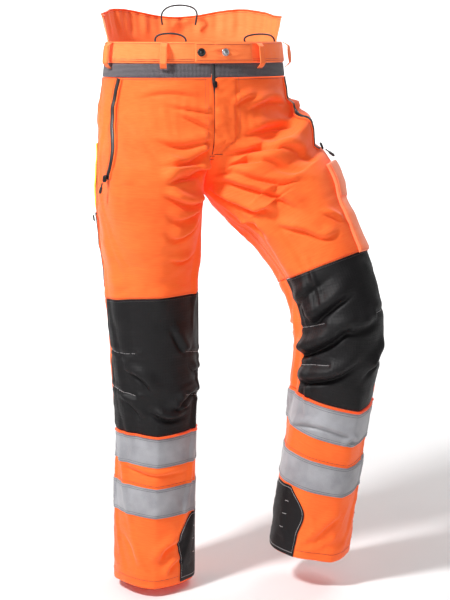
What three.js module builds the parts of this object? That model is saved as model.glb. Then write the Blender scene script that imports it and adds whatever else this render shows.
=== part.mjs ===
// High-visibility chainsaw trousers with cut protection, in their worn shape.
// Millimetres. +Z is up, the wearer faces -Y, the wearer's right is -X.
// The origin is the centre of the waistband's top edge.
//
// Every piece of cloth is a thin solid on one body surface. A place on that surface is a side
// (right or left), u and v. u runs round the leg from the front seam or inseam (0), over the
// outside (0.5), to the back seam or inseam (1). v is the distance down from the waist's top edge.
import * as THREE from 'three';

// ---- Lengths down the garment, from the waistband's top edge ----
const WAISTBAND_HEIGHT = 38;
const STRETCH_BAND_HEIGHT = 26;
const RISE = 276;
const KNEE_PANEL_TOP = 484;
const KNEE_HEIGHT = 606;
const KNEE_PANEL_LENGTH = 244;
const KNEE_PIPING = 5;
const TAPE_WIDTH = 57;
const TAPE_SPACING = 98;
const OUTSEAM = 1026;
const FRONT_DIP = 6;

// ---- Half girths ----
// Rows: v, half width, depth to the front, depth to the back.
const HIP = [
  [-60, 161, 110, 106],
  [0, 168, 114, 110],
  [76, 177, 119, 122],
  [156, 188, 122, 136],
  [226, 194, 122, 142],
  [RISE, 196, 120, 134],
];
const LEG_WIDTH_KNEE = 82;
const LEG_WIDTH_HEM = 77;
const LEG_DEPTH = 80;
const THIGH_GIRTH_RIGHT = [
  [0, 88, 90, 90],
  [RISE - 120, 94, 100, 105],
  [RISE, 100, 106, 116],
  [RISE + 130, 90, 102, 104],
  [RISE + 230, 86, 92, 94],
];
const THIGH_GIRTH_LEFT = [
  [0, 92, 90, 90],
  [RISE - 120, 102, 100, 105],
  [RISE, 118, 104, 114],
  [RISE + 64, 112, 104, 110],
  [RISE + 130, 94, 104, 104],
  [RISE + 230, 84, 94, 94],
];
const SHIN_GIRTH = [
  [KNEE_HEIGHT, LEG_WIDTH_KNEE, LEG_DEPTH + 6, LEG_DEPTH + 5],
  [720, LEG_WIDTH_HEM - 1, LEG_DEPTH, LEG_DEPTH + 3],
  [830, LEG_WIDTH_HEM, LEG_DEPTH, LEG_DEPTH],
  [OUTSEAM, LEG_WIDTH_HEM, LEG_DEPTH - 1, LEG_DEPTH],
];

// ---- The way the legs stand ----
// centres: rows of v, x, y, z down the middle of the leg. turn: rows of v, degrees outwards.
const CROTCH_Y = -40;
const LEGS = {
  right: {
    sign: -1,
    spread: 0,
    blendLength: 60,
    girth: [...THIGH_GIRTH_RIGHT, ...SHIN_GIRTH],
    centres: [
      [RISE + 130, -92, -10, -RISE - 126],
      [RISE + 230, -88, -10, -RISE - 225],
      [KNEE_HEIGHT, -85, -12, -KNEE_HEIGHT + 5],
      [728, -85, -16, -723],
      [832, -90, -22, -826],
      [OUTSEAM, -100, -34, -OUTSEAM + 7],
    ],
    turn: [[0, 0], [RISE, 6], [KNEE_HEIGHT, 18], [OUTSEAM, 20]],
  },
  left: {
    sign: 1,
    spread: 22,
    blendLength: 60,
    girth: [...THIGH_GIRTH_LEFT, ...SHIN_GIRTH],
    centres: [
      [RISE + 64, 154, -66, -RISE - 4],
      [RISE + 130, 182, -90, -RISE - 60],
      [RISE + 220, 216, -122, -RISE - 138],
      [KNEE_HEIGHT, 238, -152, -KNEE_HEIGHT + 86],
      [728, 228, -146, -656],
      [832, 214, -132, -769],
      [OUTSEAM, 196, -108, -OUTSEAM + 58],
    ],
    turn: [[0, 0], [RISE, 6], [KNEE_HEIGHT, 8], [OUTSEAM, 2]],
  },
};
const HIP_BLEND_START = 95;
const OUTER_BLEND_LIFT = 30;

// ---- Cloth and clearances ----
const SHELL = 1.8;
const SEAM_GAP = 0.6;
const LAYER_GAP = 0.8;
const FILLED_GAP = 1.9;
const INNER_GAP = 1.4;
const WAISTBAND_THICKNESS = 4;
const TAPE_THICKNESS = 0.7;
const PATCH_THICKNESS = 0.9;
const CUT_PAD_THICKNESS = 5;
const POCKET_BAG_THICKNESS = 2;
const ZIP_WIDTH = 7;
const ZIP_THICKNESS = 1.6;

// ---- Where things sit round the body ----
const KNEE_PANEL_EDGES = [-0.005, 0.445];
const POCKET_ZIP_RIGHT = { top: [0.362, 66], bottom: [0.436, 244] };
const POCKET_ZIP_LEFT = { top: [0.362, 66], bottom: [0.43, 292] };
const LEFT_ZIP_STRAIGHT_FROM = 0.66;
const POCKET_BAG = { u: [0.25, 0.4], columns: 3, rows: [1, 8] };
const CUT_PAD = { u: [0.05, 0.45], columns: 8, hem: 30 };
const FLY_SLOT = 9;
const FLY_LENGTH = 150;
const FLY_PLACKET_WIDTH = 24;
const TAB_ENDS = [-0.068, 0.143];
const TAB_HEIGHT = 34;
const TAB_THICKNESS = 2;
const BUTTON_AT = 0.036;
const SNAP_AT = -0.047;
const BUTTON_RADIUS = 7;
const SNAP_RADIUS = 7.5;
const BELT_LOOPS = [-0.175, 0.175, -0.43, 0.417, -0.72, 0.72, 1];
const BELT_LOOP_WIDTH = 12;
const BELT_LOOP_LENGTH = 47;
const BELT_LOOP_GAP = 9.5;
const BELT_LOOP_THICKNESS = 1.6;
const KIDNEY_RISE = 52;
const KIDNEY_WAVE = 7;
const KIDNEY_TUCK = 14;
const KIDNEY_LEAN = 16;
const BRACE_CORD = 3.4;
const CARGO = { u: [0.362, 0.6], v: [346, 504], slant: 0.045, depth: 6, rows: 8, flapRows: 3 };
const POUCH = { u: [0.55, 0.65], columns: 2, rows: [6, 11], depth: 5 };
const VENT_RIGHT = { top: [0.52, 316], bottom: [0.495, 456] };
const VENT_LEFT = { top: [0.66, 330], bottom: [0.66, 462] };
const ANKLE_PATCH_TOP = 894;
const ANKLE_PATCH_BACK = -0.08;

// ---- Colours ----
const ORANGE = 0xf0793a;
const BLACK = 0x2a2629;
const GREY = 0x77737a;
const SILVER = 0xbcbcc0;
const YELLOW = 0xe6f24a;

const TAPE_UPPER = KNEE_PANEL_TOP + KNEE_PANEL_LENGTH + KNEE_PIPING;
const TAPE_LOWER = TAPE_UPPER + TAPE_SPACING;
const PANEL_TOP = WAISTBAND_HEIGHT + STRETCH_BAND_HEIGHT;
const TOP_OF_CLOTH = WAISTBAND_THICKNESS / 2;

const clamp01 = (t) => Math.min(1, Math.max(0, t));
const smooth = (t) => clamp01(t) ** 2 * (3 - 2 * clamp01(t));
const mix = (a, b, t) => a + (b - a) * t;
const dip = (u) => FRONT_DIP * Math.sin(2 * Math.PI * u);

// A smooth curve through rows of [x, values...], straight on past both ends.
function curve(rows, x) {
  const last = rows.length - 1;
  let i = 0;
  while (i < last - 1 && x >= rows[i + 1][0]) i += 1;
  const span = (k) => rows[k + 1][0] - rows[k][0];
  const slope = (k, c) => (rows[k + 1][c] - rows[k][c]) / span(k);
  const tangent = (k, c) => {
    if (k === 0) return slope(0, c);
    if (k === last) return slope(last - 1, c);
    const before = span(k - 1);
    const after = span(k);
    return (slope(k - 1, c) * after + slope(k, c) * before) / (before + after);
  };
  const inside = Math.min(rows[last][0], Math.max(rows[0][0], x));
  const beyond = x - inside;
  const t = (inside - rows[i][0]) / span(i);
  return rows[i].slice(1).map((_, n) => {
    const c = n + 1;
    const start = tangent(i, c);
    const end = tangent(i + 1, c);
    const value = (2 * t ** 3 - 3 * t ** 2 + 1) * rows[i][c]
      + (t ** 3 - 2 * t ** 2 + t) * span(i) * start
      + (3 * t ** 2 - 2 * t ** 3) * rows[i + 1][c]
      + (t ** 3 - t ** 2) * span(i) * end;
    return value + beyond * (x < rows[0][0] ? start : end);
  });
}

// The leg's ring at v: its centre, its outward and forward directions, and its half girths.
function legRing(leg, v) {
  const girth = curve(leg.girth, v);
  const spreadAt = (d) => THREE.MathUtils.degToRad(leg.spread) * smooth(d / RISE);
  const outAt = (d) => new THREE.Vector3(leg.sign * Math.cos(spreadAt(d)), 0, Math.sin(spreadAt(d)));
  const forward = new THREE.Vector3(0, -1, 0);
  const inner = (d) => new THREE.Vector3(0, CROTCH_Y, -d);
  if (v < RISE) {
    const out = outAt(v);
    const down = new THREE.Vector3(0, 0, -1);
    return { girth, out, forward, along: down, centre: inner(v).addScaledVector(out, girth[0]) };
  }
  const crotchOut = outAt(RISE);
  const hipCentre = inner(RISE).addScaledVector(crotchOut, curve(leg.girth, RISE)[0]);
  const rows = [[RISE, hipCentre.x, hipCentre.y, hipCentre.z], ...leg.centres];
  const centre = new THREE.Vector3(...curve(rows, v));
  const along = new THREE.Vector3(...curve(rows, v + 1)).sub(new THREE.Vector3(...curve(rows, v - 1)));
  along.normalize();
  const yaw = THREE.MathUtils.degToRad(curve(leg.turn, v)[0]) * leg.sign;
  const front = new THREE.Vector3(Math.sin(yaw), -Math.cos(yaw), 0);
  front.addScaledVector(along, -front.dot(along)).normalize();
  const out = front.clone().cross(along).multiplyScalar(leg.sign);
  const w = smooth((v - RISE) / 90);
  return {
    girth,
    centre,
    along,
    out: crotchOut.lerp(out, w).normalize(),
    forward: forward.lerp(front, w).normalize(),
  };
}

// The bare surface: hip rings at the waist that turn into leg rings at the crotch.
function surface(side, u, v) {
  const leg = LEGS[side];
  const { girth, out, forward, centre } = legRing(leg, v);
  const turn = 2 * Math.PI * u;
  const depth = Math.sin(turn) > 0 ? girth[1] : girth[2];
  const onLeg = centre.clone()
    .addScaledVector(out, -girth[0] * Math.cos(turn))
    .addScaledVector(forward, depth * Math.sin(turn));
  if (v >= RISE) return onLeg;
  const hip = curve(HIP, v);
  const half = Math.PI * u;
  const hipDepth = Math.cos(half) > 0 ? hip[1] : hip[2];
  const onHip = new THREE.Vector3(leg.sign * hip[0] * Math.sin(half), -hipDepth * Math.cos(half), -v);
  const outer = Math.sin(half) ** 2;
  const from = HIP_BLEND_START - OUTER_BLEND_LIFT * outer;
  const to = RISE - leg.blendLength * outer;
  const reach = clamp01((v - from) / (to - from)) ** (2.3 - 0.9 * outer);
  return onHip.lerp(onLeg, Math.sin(0.5 * Math.PI * reach) ** 2);
}

// The outward direction. Along the centre seams it stays in the middle plane, and at the crotch
// it points straight down, so the four panels that meet there are mitred. At the hem it lies in
// the hem's plane, which keeps the hem's end flat.
function outward(side, u, v) {
  const du = 0.004;
  const dv = 2;
  const seam = u <= du || u >= 1 - du;
  const v0 = v >= RISE && v - dv < RISE ? v : v - dv;
  const v1 = v < RISE && v + dv >= RISE ? v : v + dv;
  const u0 = v < RISE ? Math.max(0, u - du) : u - du;
  const u1 = v < RISE ? Math.min(1, u + du) : u + du;
  const alongU = surface(side, u1, v).sub(surface(side, u0, v));
  const alongV = surface(side, u, v1).sub(surface(side, u, v0));
  const normal = alongV.cross(alongU).multiplyScalar(LEGS[side].sign).normalize();
  if (seam && v <= RISE) normal.setX(0).normalize();
  if (seam) {
    const down = smooth(1 - Math.abs(v - RISE) / 45);
    normal.lerp(new THREE.Vector3(0, 0, -1), down).normalize();
  }
  if (v === OUTSEAM) {
    const { along } = legRing(LEGS[side], v);
    normal.addScaledVector(along, -normal.dot(along)).normalize();
  }
  return normal;
}

// A point lifted off the surface. Neither side crosses the middle plane.
function lifted(side, u, v, lift) {
  const point = surface(side, u, v).addScaledVector(outward(side, u, v), lift);
  const { sign } = LEGS[side];
  point.x = sign * Math.max(SEAM_GAP / 2, sign * point.x);
  return point;
}

// A place on the waist, by a signed share of the half girth: 0 front, +0.5 left side, 1 back.
function aroundWaist(a, v, lift) {
  const wrapped = a > 1 ? a - 2 : a;
  const side = wrapped < 0 ? 'right' : 'left';
  const u = Math.abs(wrapped);
  return surface(side, u, v).addScaledVector(outward(side, u, v), lift);
}

const group = new THREE.Group();
group.name = 'chainsaw_trousers';

function addSolid(name, points, faces, color, roughness = 0.85, metalness = 0) {
  const geometry = new THREE.BufferGeometry();
  const numbers = points.flatMap((p) => p.toArray());
  geometry.setAttribute('position', new THREE.Float32BufferAttribute(numbers, 3));
  let volume = 0;
  faces.forEach(([a, b, c]) => {
    volume += points[a].dot(points[b].clone().cross(points[c]));
  });
  geometry.setIndex(faces.flatMap(([a, b, c]) => (volume > 0 ? [a, b, c] : [a, c, b])));
  geometry.computeVertexNormals();
  const mesh = new THREE.Mesh(geometry, new THREE.MeshStandardMaterial({ color, roughness, metalness }));
  mesh.name = name;
  group.add(mesh);
  return mesh;
}

// A sheet of cloth between two lifts. at(s, t, lift) gives its points, cols by rows cells.
// A closed sheet joins s = 1 to s = 0. isHole(column, row) leaves cells out.
function addSheet(name, { cols, rows, at, outer, inner, closed = false, isHole = () => false }, color) {
  const points = [];
  const width = closed ? cols : cols + 1;
  const index = (i, j, face) => face * width * (rows + 1) + j * width + (i % width);
  [outer, inner].forEach((lift) => {
    for (let j = 0; j <= rows; j += 1) {
      for (let i = 0; i < width; i += 1) points.push(at(i / cols, j / rows, lift));
    }
  });
  const faces = [];
  const quad = (a, b, c, d) => faces.push([a, b, c], [a, c, d]);
  const solidCell = (i, j) => {
    const column = closed ? (i + cols) % cols : i;
    return column >= 0 && column < cols && j >= 0 && j < rows && !isHole(column, j);
  };
  const wall = (i0, j0, i1, j1) => {
    quad(index(i1, j1, 0), index(i0, j0, 0), index(i0, j0, 1), index(i1, j1, 1));
  };
  for (let j = 0; j < rows; j += 1) {
    for (let i = 0; i < cols; i += 1) {
      if (solidCell(i, j)) {
        quad(index(i, j, 0), index(i + 1, j, 0), index(i + 1, j + 1, 0), index(i, j + 1, 0));
        quad(index(i, j, 1), index(i, j + 1, 1), index(i + 1, j + 1, 1), index(i + 1, j, 1));
        if (!solidCell(i, j - 1)) wall(i, j, i + 1, j);
        if (!solidCell(i + 1, j)) wall(i + 1, j, i + 1, j + 1);
        if (!solidCell(i, j + 1)) wall(i + 1, j + 1, i, j + 1);
        if (!solidCell(i - 1, j)) wall(i, j + 1, i, j);
      }
    }
  }
  return addSolid(name, points, faces, color);
}

// A solid through closed rings of points, with a fan over each end.
function addLoft(name, rings, color, roughness, metalness) {
  const n = rings[0].length;
  const points = rings.flat();
  const faces = [];
  for (let j = 0; j + 1 < rings.length; j += 1) {
    for (let i = 0; i < n; i += 1) {
      const a = j * n + i;
      const b = j * n + ((i + 1) % n);
      faces.push([a, b, b + n], [a, b + n, a + n]);
    }
  }
  const centre = (ring) => ring.reduce((sum, p) => sum.add(p), new THREE.Vector3()).divideScalar(n);
  const top = points.push(centre(rings[0])) - 1;
  const bottom = points.push(centre(rings[rings.length - 1])) - 1;
  const offset = (rings.length - 1) * n;
  for (let i = 0; i < n; i += 1) {
    const next = (i + 1) % n;
    faces.push([top, next, i], [bottom, offset + i, offset + next]);
  }
  return addSolid(name, points, faces, color, roughness, metalness);
}

// Rings of a turned part: profile rows of [radius, height] along an axis from a base point.
function turned(base, axis, profile, segments = 12) {
  const side = new THREE.Vector3(0, 0, 1).cross(axis);
  if (side.length() < 0.1) side.set(1, 0, 0);
  side.normalize();
  const other = axis.clone().cross(side);
  return profile.map(([radius, height]) => Array.from({ length: segments }, (_, i) => {
    const angle = (2 * Math.PI * i) / segments;
    return base.clone().addScaledVector(axis, height)
      .addScaledVector(side, radius * Math.cos(angle))
      .addScaledVector(other, radius * Math.sin(angle));
  }));
}

const onSide = (side, uAt, vAt) => (s, t, lift) => {
  const v = vAt(t, s);
  const u = uAt(s, t, v);
  return lifted(side, v >= RISE ? u : clamp01(u), v, lift);
};

const seamShare = SEAM_GAP / 2 / 520;
const WAIST_COLUMNS = 16;

// ---- Waist: waistband, stretch band and kidney panel ----
Object.keys(LEGS).forEach((side) => {
  addSheet(`waistband_${side}`, {
    cols: WAIST_COLUMNS,
    rows: 1,
    at: onSide(side, (s) => s, (t) => WAISTBAND_HEIGHT * t),
    outer: TOP_OF_CLOTH,
    inner: TOP_OF_CLOTH - WAISTBAND_THICKNESS,
  }, ORANGE);
  const flyEdge = FLY_SLOT / 2 / (Math.PI * HIP[2][1]);
  addSheet(`stretch_band_${side}`, {
    cols: WAIST_COLUMNS,
    rows: 1,
    at: onSide(
      side,
      (s) => mix(flyEdge, 1, s),
      (t) => WAISTBAND_HEIGHT + SEAM_GAP + (STRETCH_BAND_HEIGHT - 2 * SEAM_GAP) * t,
    ),
    outer: 0,
    inner: -SHELL,
  }, GREY);
});

const kidneyTop = (share) => KIDNEY_RISE - KIDNEY_WAVE * Math.cos(4 * Math.PI * share);
addSheet('kidney_panel', {
  cols: WAIST_COLUMNS,
  rows: 3,
  at: (s, t, lift) => {
    const v = [-kidneyTop(s), -kidneyTop(s) / 2, 0, KIDNEY_TUCK][Math.round(3 * t)];
    return aroundWaist(mix(0.5, 1.5, s), v, lift + KIDNEY_LEAN * Math.max(0, -v / KIDNEY_RISE));
  },
  outer: TOP_OF_CLOTH - WAISTBAND_THICKNESS - LAYER_GAP,
  inner: TOP_OF_CLOTH - WAISTBAND_THICKNESS - LAYER_GAP - SHELL,
}, ORANGE);

// ---- Front and back panels, from the stretch band to the knee panel ----
const flyBottom = PANEL_TOP + FLY_LENGTH;
// Stations down a panel: shares of the way down the fly, on to the crotch, then to the knee panel.
const DOWN_FLY = [0, 18 / 150, 36 / 150, 54 / 150, 72 / 150, 92 / 150, 120 / 150];
const FLY_TO_CROTCH = [0, 32 / 62];
const BELOW_CROTCH = [0, 30 / 208, 62 / 208, 98 / 208, 134 / 208, 172 / 208, 1];
const PANEL_V = [
  ...DOWN_FLY.map((t) => mix(PANEL_TOP, flyBottom, t)),
  ...FLY_TO_CROTCH.map((t) => mix(flyBottom, RISE, t)),
  ...BELOW_CROTCH.map((t) => mix(RISE, KNEE_PANEL_TOP, t)),
];
const PANEL_ROWS = PANEL_V.length - 1;
const PANEL_COLUMNS = 10;
const panelV = (t) => {
  const row = Math.round(t * PANEL_ROWS);
  return PANEL_V[row] - (row === PANEL_ROWS ? SEAM_GAP / 2 : 0);
};
Object.keys(LEGS).forEach((side) => {
  const slot = (v) => (v <= flyBottom ? FLY_SLOT / 2 / (Math.PI * HIP[3][1]) : 0);
  const front = (v) => Math.max(slot(v), v >= RISE ? seamShare : 0);
  addSheet(`front_panel_${side}`, {
    cols: PANEL_COLUMNS,
    rows: PANEL_ROWS,
    at: onSide(side, (s, t, v) => mix(front(v), 0.5 - seamShare, s), panelV),
    outer: 0,
    inner: -SHELL,
  }, ORANGE);
  addSheet(`back_panel_${side}`, {
    cols: PANEL_COLUMNS,
    rows: PANEL_ROWS,
    at: onSide(side, (s, t, v) => mix(0.5 + seamShare, v >= RISE ? 1 - seamShare : 1, s), panelV),
    outer: 0,
    inner: -SHELL,
  }, ORANGE);
});

// ---- Fly: zip tape in the slot, slider, placket on the wearer's left ----
const flyPoint = (x, v, lift) => {
  const side = x < 0 ? 'right' : 'left';
  const u = Math.abs(x) / (Math.PI * HIP[3][1]);
  const point = surface(side, u, v).addScaledVector(outward(side, u, v), lift);
  return point;
};
const flyZipEnds = [PANEL_TOP + 2, flyBottom - 8];
addSheet('fly_zip', {
  cols: 2,
  rows: 6,
  at: (s, t, lift) => flyPoint(mix(-1, 1, s) * (FLY_SLOT / 2 - 1), mix(...flyZipEnds, t), lift),
  outer: -0.4,
  inner: -2,
}, BLACK);
// The arc that a slider runs on: its centre, its axis, and the way out and down at its start.
const arcThrough = (start, middle, end) => {
  const ab = middle.clone().sub(start);
  const ac = end.clone().sub(start);
  const axis = ab.clone().cross(ac);
  const toCentre = axis.clone().cross(ab).multiplyScalar(ac.lengthSq())
    .add(ac.clone().cross(axis).multiplyScalar(ab.lengthSq()))
    .divideScalar(2 * axis.lengthSq());
  const centre = start.clone().add(toCentre);
  axis.normalize();
  const along = axis.clone().cross(start.clone().sub(centre)).normalize();
  const angle = start.clone().sub(centre).angleTo(end.clone().sub(centre));
  return { centre, axis, along, angle, start };
};
const FLY_SLIDER_LIFT = 1.6;
const FLY_TRAVEL = [PANEL_TOP + 12, PANEL_TOP + 60, PANEL_TOP + 108];
const flyArc = arcThrough(...FLY_TRAVEL.map((v) => flyPoint(0, v, FLY_SLIDER_LIFT)));
const slider = (name, centre, along, out, length, width, thickness) => {
  const across = along.clone().cross(out).normalize();
  const outline = [[0.5, 0.35], [0.32, 0.5], [-0.32, 0.5], [-0.5, 0.35], [-0.5, -0.35], [-0.3, -0.5],
    [0.3, -0.5], [0.5, -0.35]];
  const rings = [0, 0.7, 1].map((h) => outline.map(([x, y]) => centre.clone()
    .addScaledVector(across, x * width * (h === 1 ? 0.7 : 1))
    .addScaledVector(along, y * length * (h === 1 ? 0.8 : 1))
    .addScaledVector(out, h * thickness)));
  return addLoft(name, rings, BLACK, 0.4, 0.3);
};
slider('fly_slider', flyArc.start, flyArc.along, new THREE.Vector3(0, -1, 0), 12, 7, 2.4);
addSheet('fly_placket', {
  cols: 3,
  rows: 8,
  at: (s, t, lift) => {
    const v = mix(PANEL_TOP + 1, flyBottom - 12, t);
    const end = smooth((t - 0.8) / 0.2);
    return flyPoint(FLY_SLOT / 2 + 1 + s * FLY_PLACKET_WIDTH * (1 - 0.6 * end), v - s * 16 * end, lift);
  },
  outer: LAYER_GAP + PATCH_THICKNESS,
  inner: LAYER_GAP,
}, ORANGE);

// ---- Pockets: zip strip, slider, pull, and the flat bag behind the panel ----
const placeAt = ([u, v], side, lift) => lifted(side, u, v, lift);
const stripOn = (side, zip, width) => (s, t, lift) => {
  const [u0, v0] = zip.top;
  const [u1, v1] = zip.bottom;
  const u = mix(u0, u1, t);
  const v = mix(v0, v1, t);
  const here = surface(side, u, v);
  const along = surface(side, u + (u1 - u0) * 0.01, v + (v1 - v0) * 0.01).sub(here).normalize();
  const out = outward(side, u, v);
  const across = along.cross(out).normalize();
  return here.addScaledVector(across, (s - 0.5) * width).addScaledVector(out, lift);
};
const ZIP_LIFT = 2.2;
const SLIDER_LIFT = 6.4;
const PULL_LIFT = 6;
const PULL_CLEAR = 13;
const SLIDER = { length: 13, width: 9, thickness: 4 };
const PULL = [[0.6, 0], [1.3, 1.5], [1.3, 8], [2.6, 10], [2.8, 18], [2, 21], [0.6, 22]];
const zipArc = (side, zip, shares) => arcThrough(...shares.map((t) => placeAt(
  [mix(zip.top[0], zip.bottom[0], t), mix(zip.top[1], zip.bottom[1], t)],
  side,
  SLIDER_LIFT,
)));
const awayFromBody = (side, place, along) => {
  const out = outward(side, ...place);
  return out.addScaledVector(along, -out.dot(along)).normalize();
};
const hangFrom = (side, eye, place) => placeAt(place, side, PULL_CLEAR).sub(eye).normalize();
const pocketZips = {
  right: { zip: POCKET_ZIP_RIGHT, shares: [1, 0.5, 0.06], hangsTo: [0.45, 276] },
  left: { zip: POCKET_ZIP_LEFT, shares: [1, mix(1, LEFT_ZIP_STRAIGHT_FROM, 0.5), LEFT_ZIP_STRAIGHT_FROM],
    hangsTo: [0.432, 350] },
};
Object.keys(LEGS).forEach((side) => {
  const { zip, shares, hangsTo } = pocketZips[side];
  addSheet(`pocket_zip_${side}`, {
    cols: 1,
    rows: 14,
    at: stripOn(side, zip, ZIP_WIDTH),
    outer: ZIP_LIFT + ZIP_THICKNESS,
    inner: ZIP_LIFT,
  }, BLACK);
  const arc = zipArc(side, zip, shares);
  const down = arc.along.clone().negate();
  const out = awayFromBody(side, zip.bottom, down);
  slider(`pocket_slider_${side}`, arc.start, down, out, SLIDER.length, SLIDER.width, SLIDER.thickness);
  const eye = arc.start.clone().addScaledVector(down, SLIDER.length / 2 + 2);
  eye.addScaledVector(out, PULL_LIFT);
  addLoft(`pocket_pull_${side}`, turned(eye, hangFrom(side, eye, hangsTo), PULL, 8), BLACK, 0.6, 0);
  const [firstRow, lastRow] = POCKET_BAG.rows;
  addSheet(`pocket_bag_${side}`, {
    cols: POCKET_BAG.columns,
    rows: lastRow - firstRow,
    at: onSide(side, (s) => mix(...POCKET_BAG.u, s), (t) => PANEL_V[Math.round(mix(firstRow, lastRow, t))]),
    outer: -SHELL - INNER_GAP,
    inner: -SHELL - INNER_GAP - POCKET_BAG_THICKNESS,
  }, GREY);
});

// ---- Waist tab with its buttonhole, snap and shank button ----
const TAB_COLS = [TAB_ENDS[0], SNAP_AT, -0.02, 0.006, BUTTON_AT - 0.008, BUTTON_AT + 0.008,
  0.062, 0.09, 0.117, TAB_ENDS[1]];
const TAB_ROWS = [2, 13, 16, 22, 25, 2 + TAB_HEIGHT];
const TAB_LIFT = TOP_OF_CLOTH + LAYER_GAP;
addSheet('waist_tab', {
  cols: TAB_COLS.length - 1,
  rows: TAB_ROWS.length - 1,
  at: (s, t, lift) => aroundWaist(
    TAB_COLS[Math.round(s * (TAB_COLS.length - 1))],
    TAB_ROWS[Math.round(t * (TAB_ROWS.length - 1))],
    lift,
  ),
  outer: TAB_LIFT + TAB_THICKNESS,
  inner: TAB_LIFT,
  isHole: (i, j) => i === 4 && j === 2,
}, ORANGE);
const TAB_TOP = TAB_LIFT + TAB_THICKNESS;
const waistOut = (a) => outward(a < 0 ? 'right' : 'left', Math.abs(a), 19);
const capBase = aroundWaist(SNAP_AT, 19, TAB_TOP + SEAM_GAP);
const capProfile = [[SNAP_RADIUS, 0], [SNAP_RADIUS, 1], [SNAP_RADIUS - 1.5, 2.2], [2, 2.5]];
addLoft('snap_cap', turned(capBase, waistOut(SNAP_AT), capProfile, 14), BLACK, 0.3, 0.2);
const studBase = aroundWaist(BUTTON_AT, 19, TOP_OF_CLOTH + SEAM_GAP);
const shank = TAB_TOP - TOP_OF_CLOTH + 0.3;
const buttonProfile = [[2, 0], [2, shank], [BUTTON_RADIUS, shank + 0.4], [BUTTON_RADIUS, shank + 1.6],
  [BUTTON_RADIUS - 2, shank + 2.4]];
addLoft('shank_button', turned(studBase, waistOut(BUTTON_AT), buttonProfile, 14), SILVER, 0.3, 0.9);
const tuck = 0.4;
addLoft('snap_stud', turned(
  aroundWaist(SNAP_AT, 19, TOP_OF_CLOTH + tuck / 4),
  waistOut(SNAP_AT),
  [[4.5, 0], [4.5, LAYER_GAP - tuck]],
  10,
), SILVER, 0.3, 0.9);

// ---- Belt loops ----
BELT_LOOPS.forEach((a, n) => {
  const tangent = waistOut(Math.abs(a) === 1 ? 1 : a).clone().cross(new THREE.Vector3(0, 0, 1)).normalize();
  const steps = 9;
  const rings = Array.from({ length: steps + 1 }, (_, i) => {
    const t = i / steps;
    const bow = BELT_LOOP_GAP * Math.min(1, 1.9 * Math.sin(Math.PI * t));
    const near = aroundWaist(a, 1 + BELT_LOOP_LENGTH * t, TAB_LIFT + bow);
    const far = aroundWaist(a, 1 + BELT_LOOP_LENGTH * t, TAB_LIFT + bow + BELT_LOOP_THICKNESS);
    const half = BELT_LOOP_WIDTH / 2;
    return [
      near.clone().addScaledVector(tangent, -half),
      near.clone().addScaledVector(tangent, half),
      far.clone().addScaledVector(tangent, half),
      far.clone().addScaledVector(tangent, -half),
    ];
  });
  addLoft(`belt_loop_${n + 1}`, rings, ORANGE);
});

// ---- Brace loops: elastic cord that stands up from inside the waist ----
// Rows: share of the half spread, share of the height.
const LOOP_ROUTE = [[-0.9, -0.55], [-0.94, -0.3], [-0.97, 0], [-1, 0.25], [-0.97, 0.5], [-0.86, 0.72],
  [-0.68, 0.87], [-0.45, 0.96], [-0.2, 1], [0.05, 1], [0.3, 0.96], [0.52, 0.88], [0.72, 0.74],
  [0.88, 0.53], [0.96, 0.27], [0.97, 0], [0.94, -0.3], [0.9, -0.55]];
const WAIST_HALF_GIRTH = Math.PI * (HIP[1][1] + HIP[1][2]) / 2;
const braceLoop = (name, a, halfSpread, height, base, lift) => {
  const share = halfSpread / WAIST_HALF_GIRTH;
  const route = new THREE.CatmullRomCurve3(
    LOOP_ROUTE.map(([along, rise]) => aroundWaist(a + along * share, -base - rise * height, lift)),
    false,
    'centripetal',
  );
  const section = new THREE.Shape();
  section.absarc(0, 0, BRACE_CORD / 2, 0, 2 * Math.PI);
  const geometry = new THREE.ExtrudeGeometry(section, { steps: 22, curveSegments: 2, extrudePath: route });
  const material = new THREE.MeshStandardMaterial({ color: BLACK, roughness: 0.9, metalness: 0 });
  const mesh = new THREE.Mesh(geometry, material);
  mesh.name = name;
  group.add(mesh);
};
const INSIDE_BAND = TOP_OF_CLOTH - WAISTBAND_THICKNESS - 2 * LAYER_GAP - BRACE_CORD / 2;
braceLoop('brace_loop_front_right', -0.155, 26, 15, 0, INSIDE_BAND);
braceLoop('brace_loop_front_left', 0.225, 44, 14, 0, INSIDE_BAND);
braceLoop('brace_loop_back', 1, 33, 24, kidneyTop(0.5), INSIDE_BAND - SHELL - 2 * LAYER_GAP);

// ---- Thigh details ----
const cargoU = (s, t) => mix(CARGO.u[0] - CARGO.slant * t, CARGO.u[1], s);
const FLAP_SHARE = CARGO.flapRows / CARGO.rows;
addSheet('cargo_pocket', {
  cols: 8,
  rows: CARGO.rows,
  at: onSide('left', cargoU, (t) => mix(...CARGO.v, t)),
  outer: LAYER_GAP + CARGO.depth,
  inner: FILLED_GAP,
}, ORANGE);
addSheet('cargo_flap', {
  cols: 8,
  rows: CARGO.flapRows,
  at: onSide('left', (s, t) => cargoU(s, t * FLAP_SHARE), (t) => mix(...CARGO.v, t * FLAP_SHARE)),
  outer: 2 * LAYER_GAP + CARGO.depth + SHELL,
  inner: 2 * LAYER_GAP + CARGO.depth,
}, ORANGE);
addSheet('first_aid_pouch', {
  cols: POUCH.columns,
  rows: POUCH.rows[1] - POUCH.rows[0],
  at: onSide('right', (s) => mix(...POUCH.u, s), (t) => PANEL_V[Math.round(mix(...POUCH.rows, t))]),
  outer: LAYER_GAP + POUCH.depth,
  inner: FILLED_GAP,
}, YELLOW);
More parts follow.
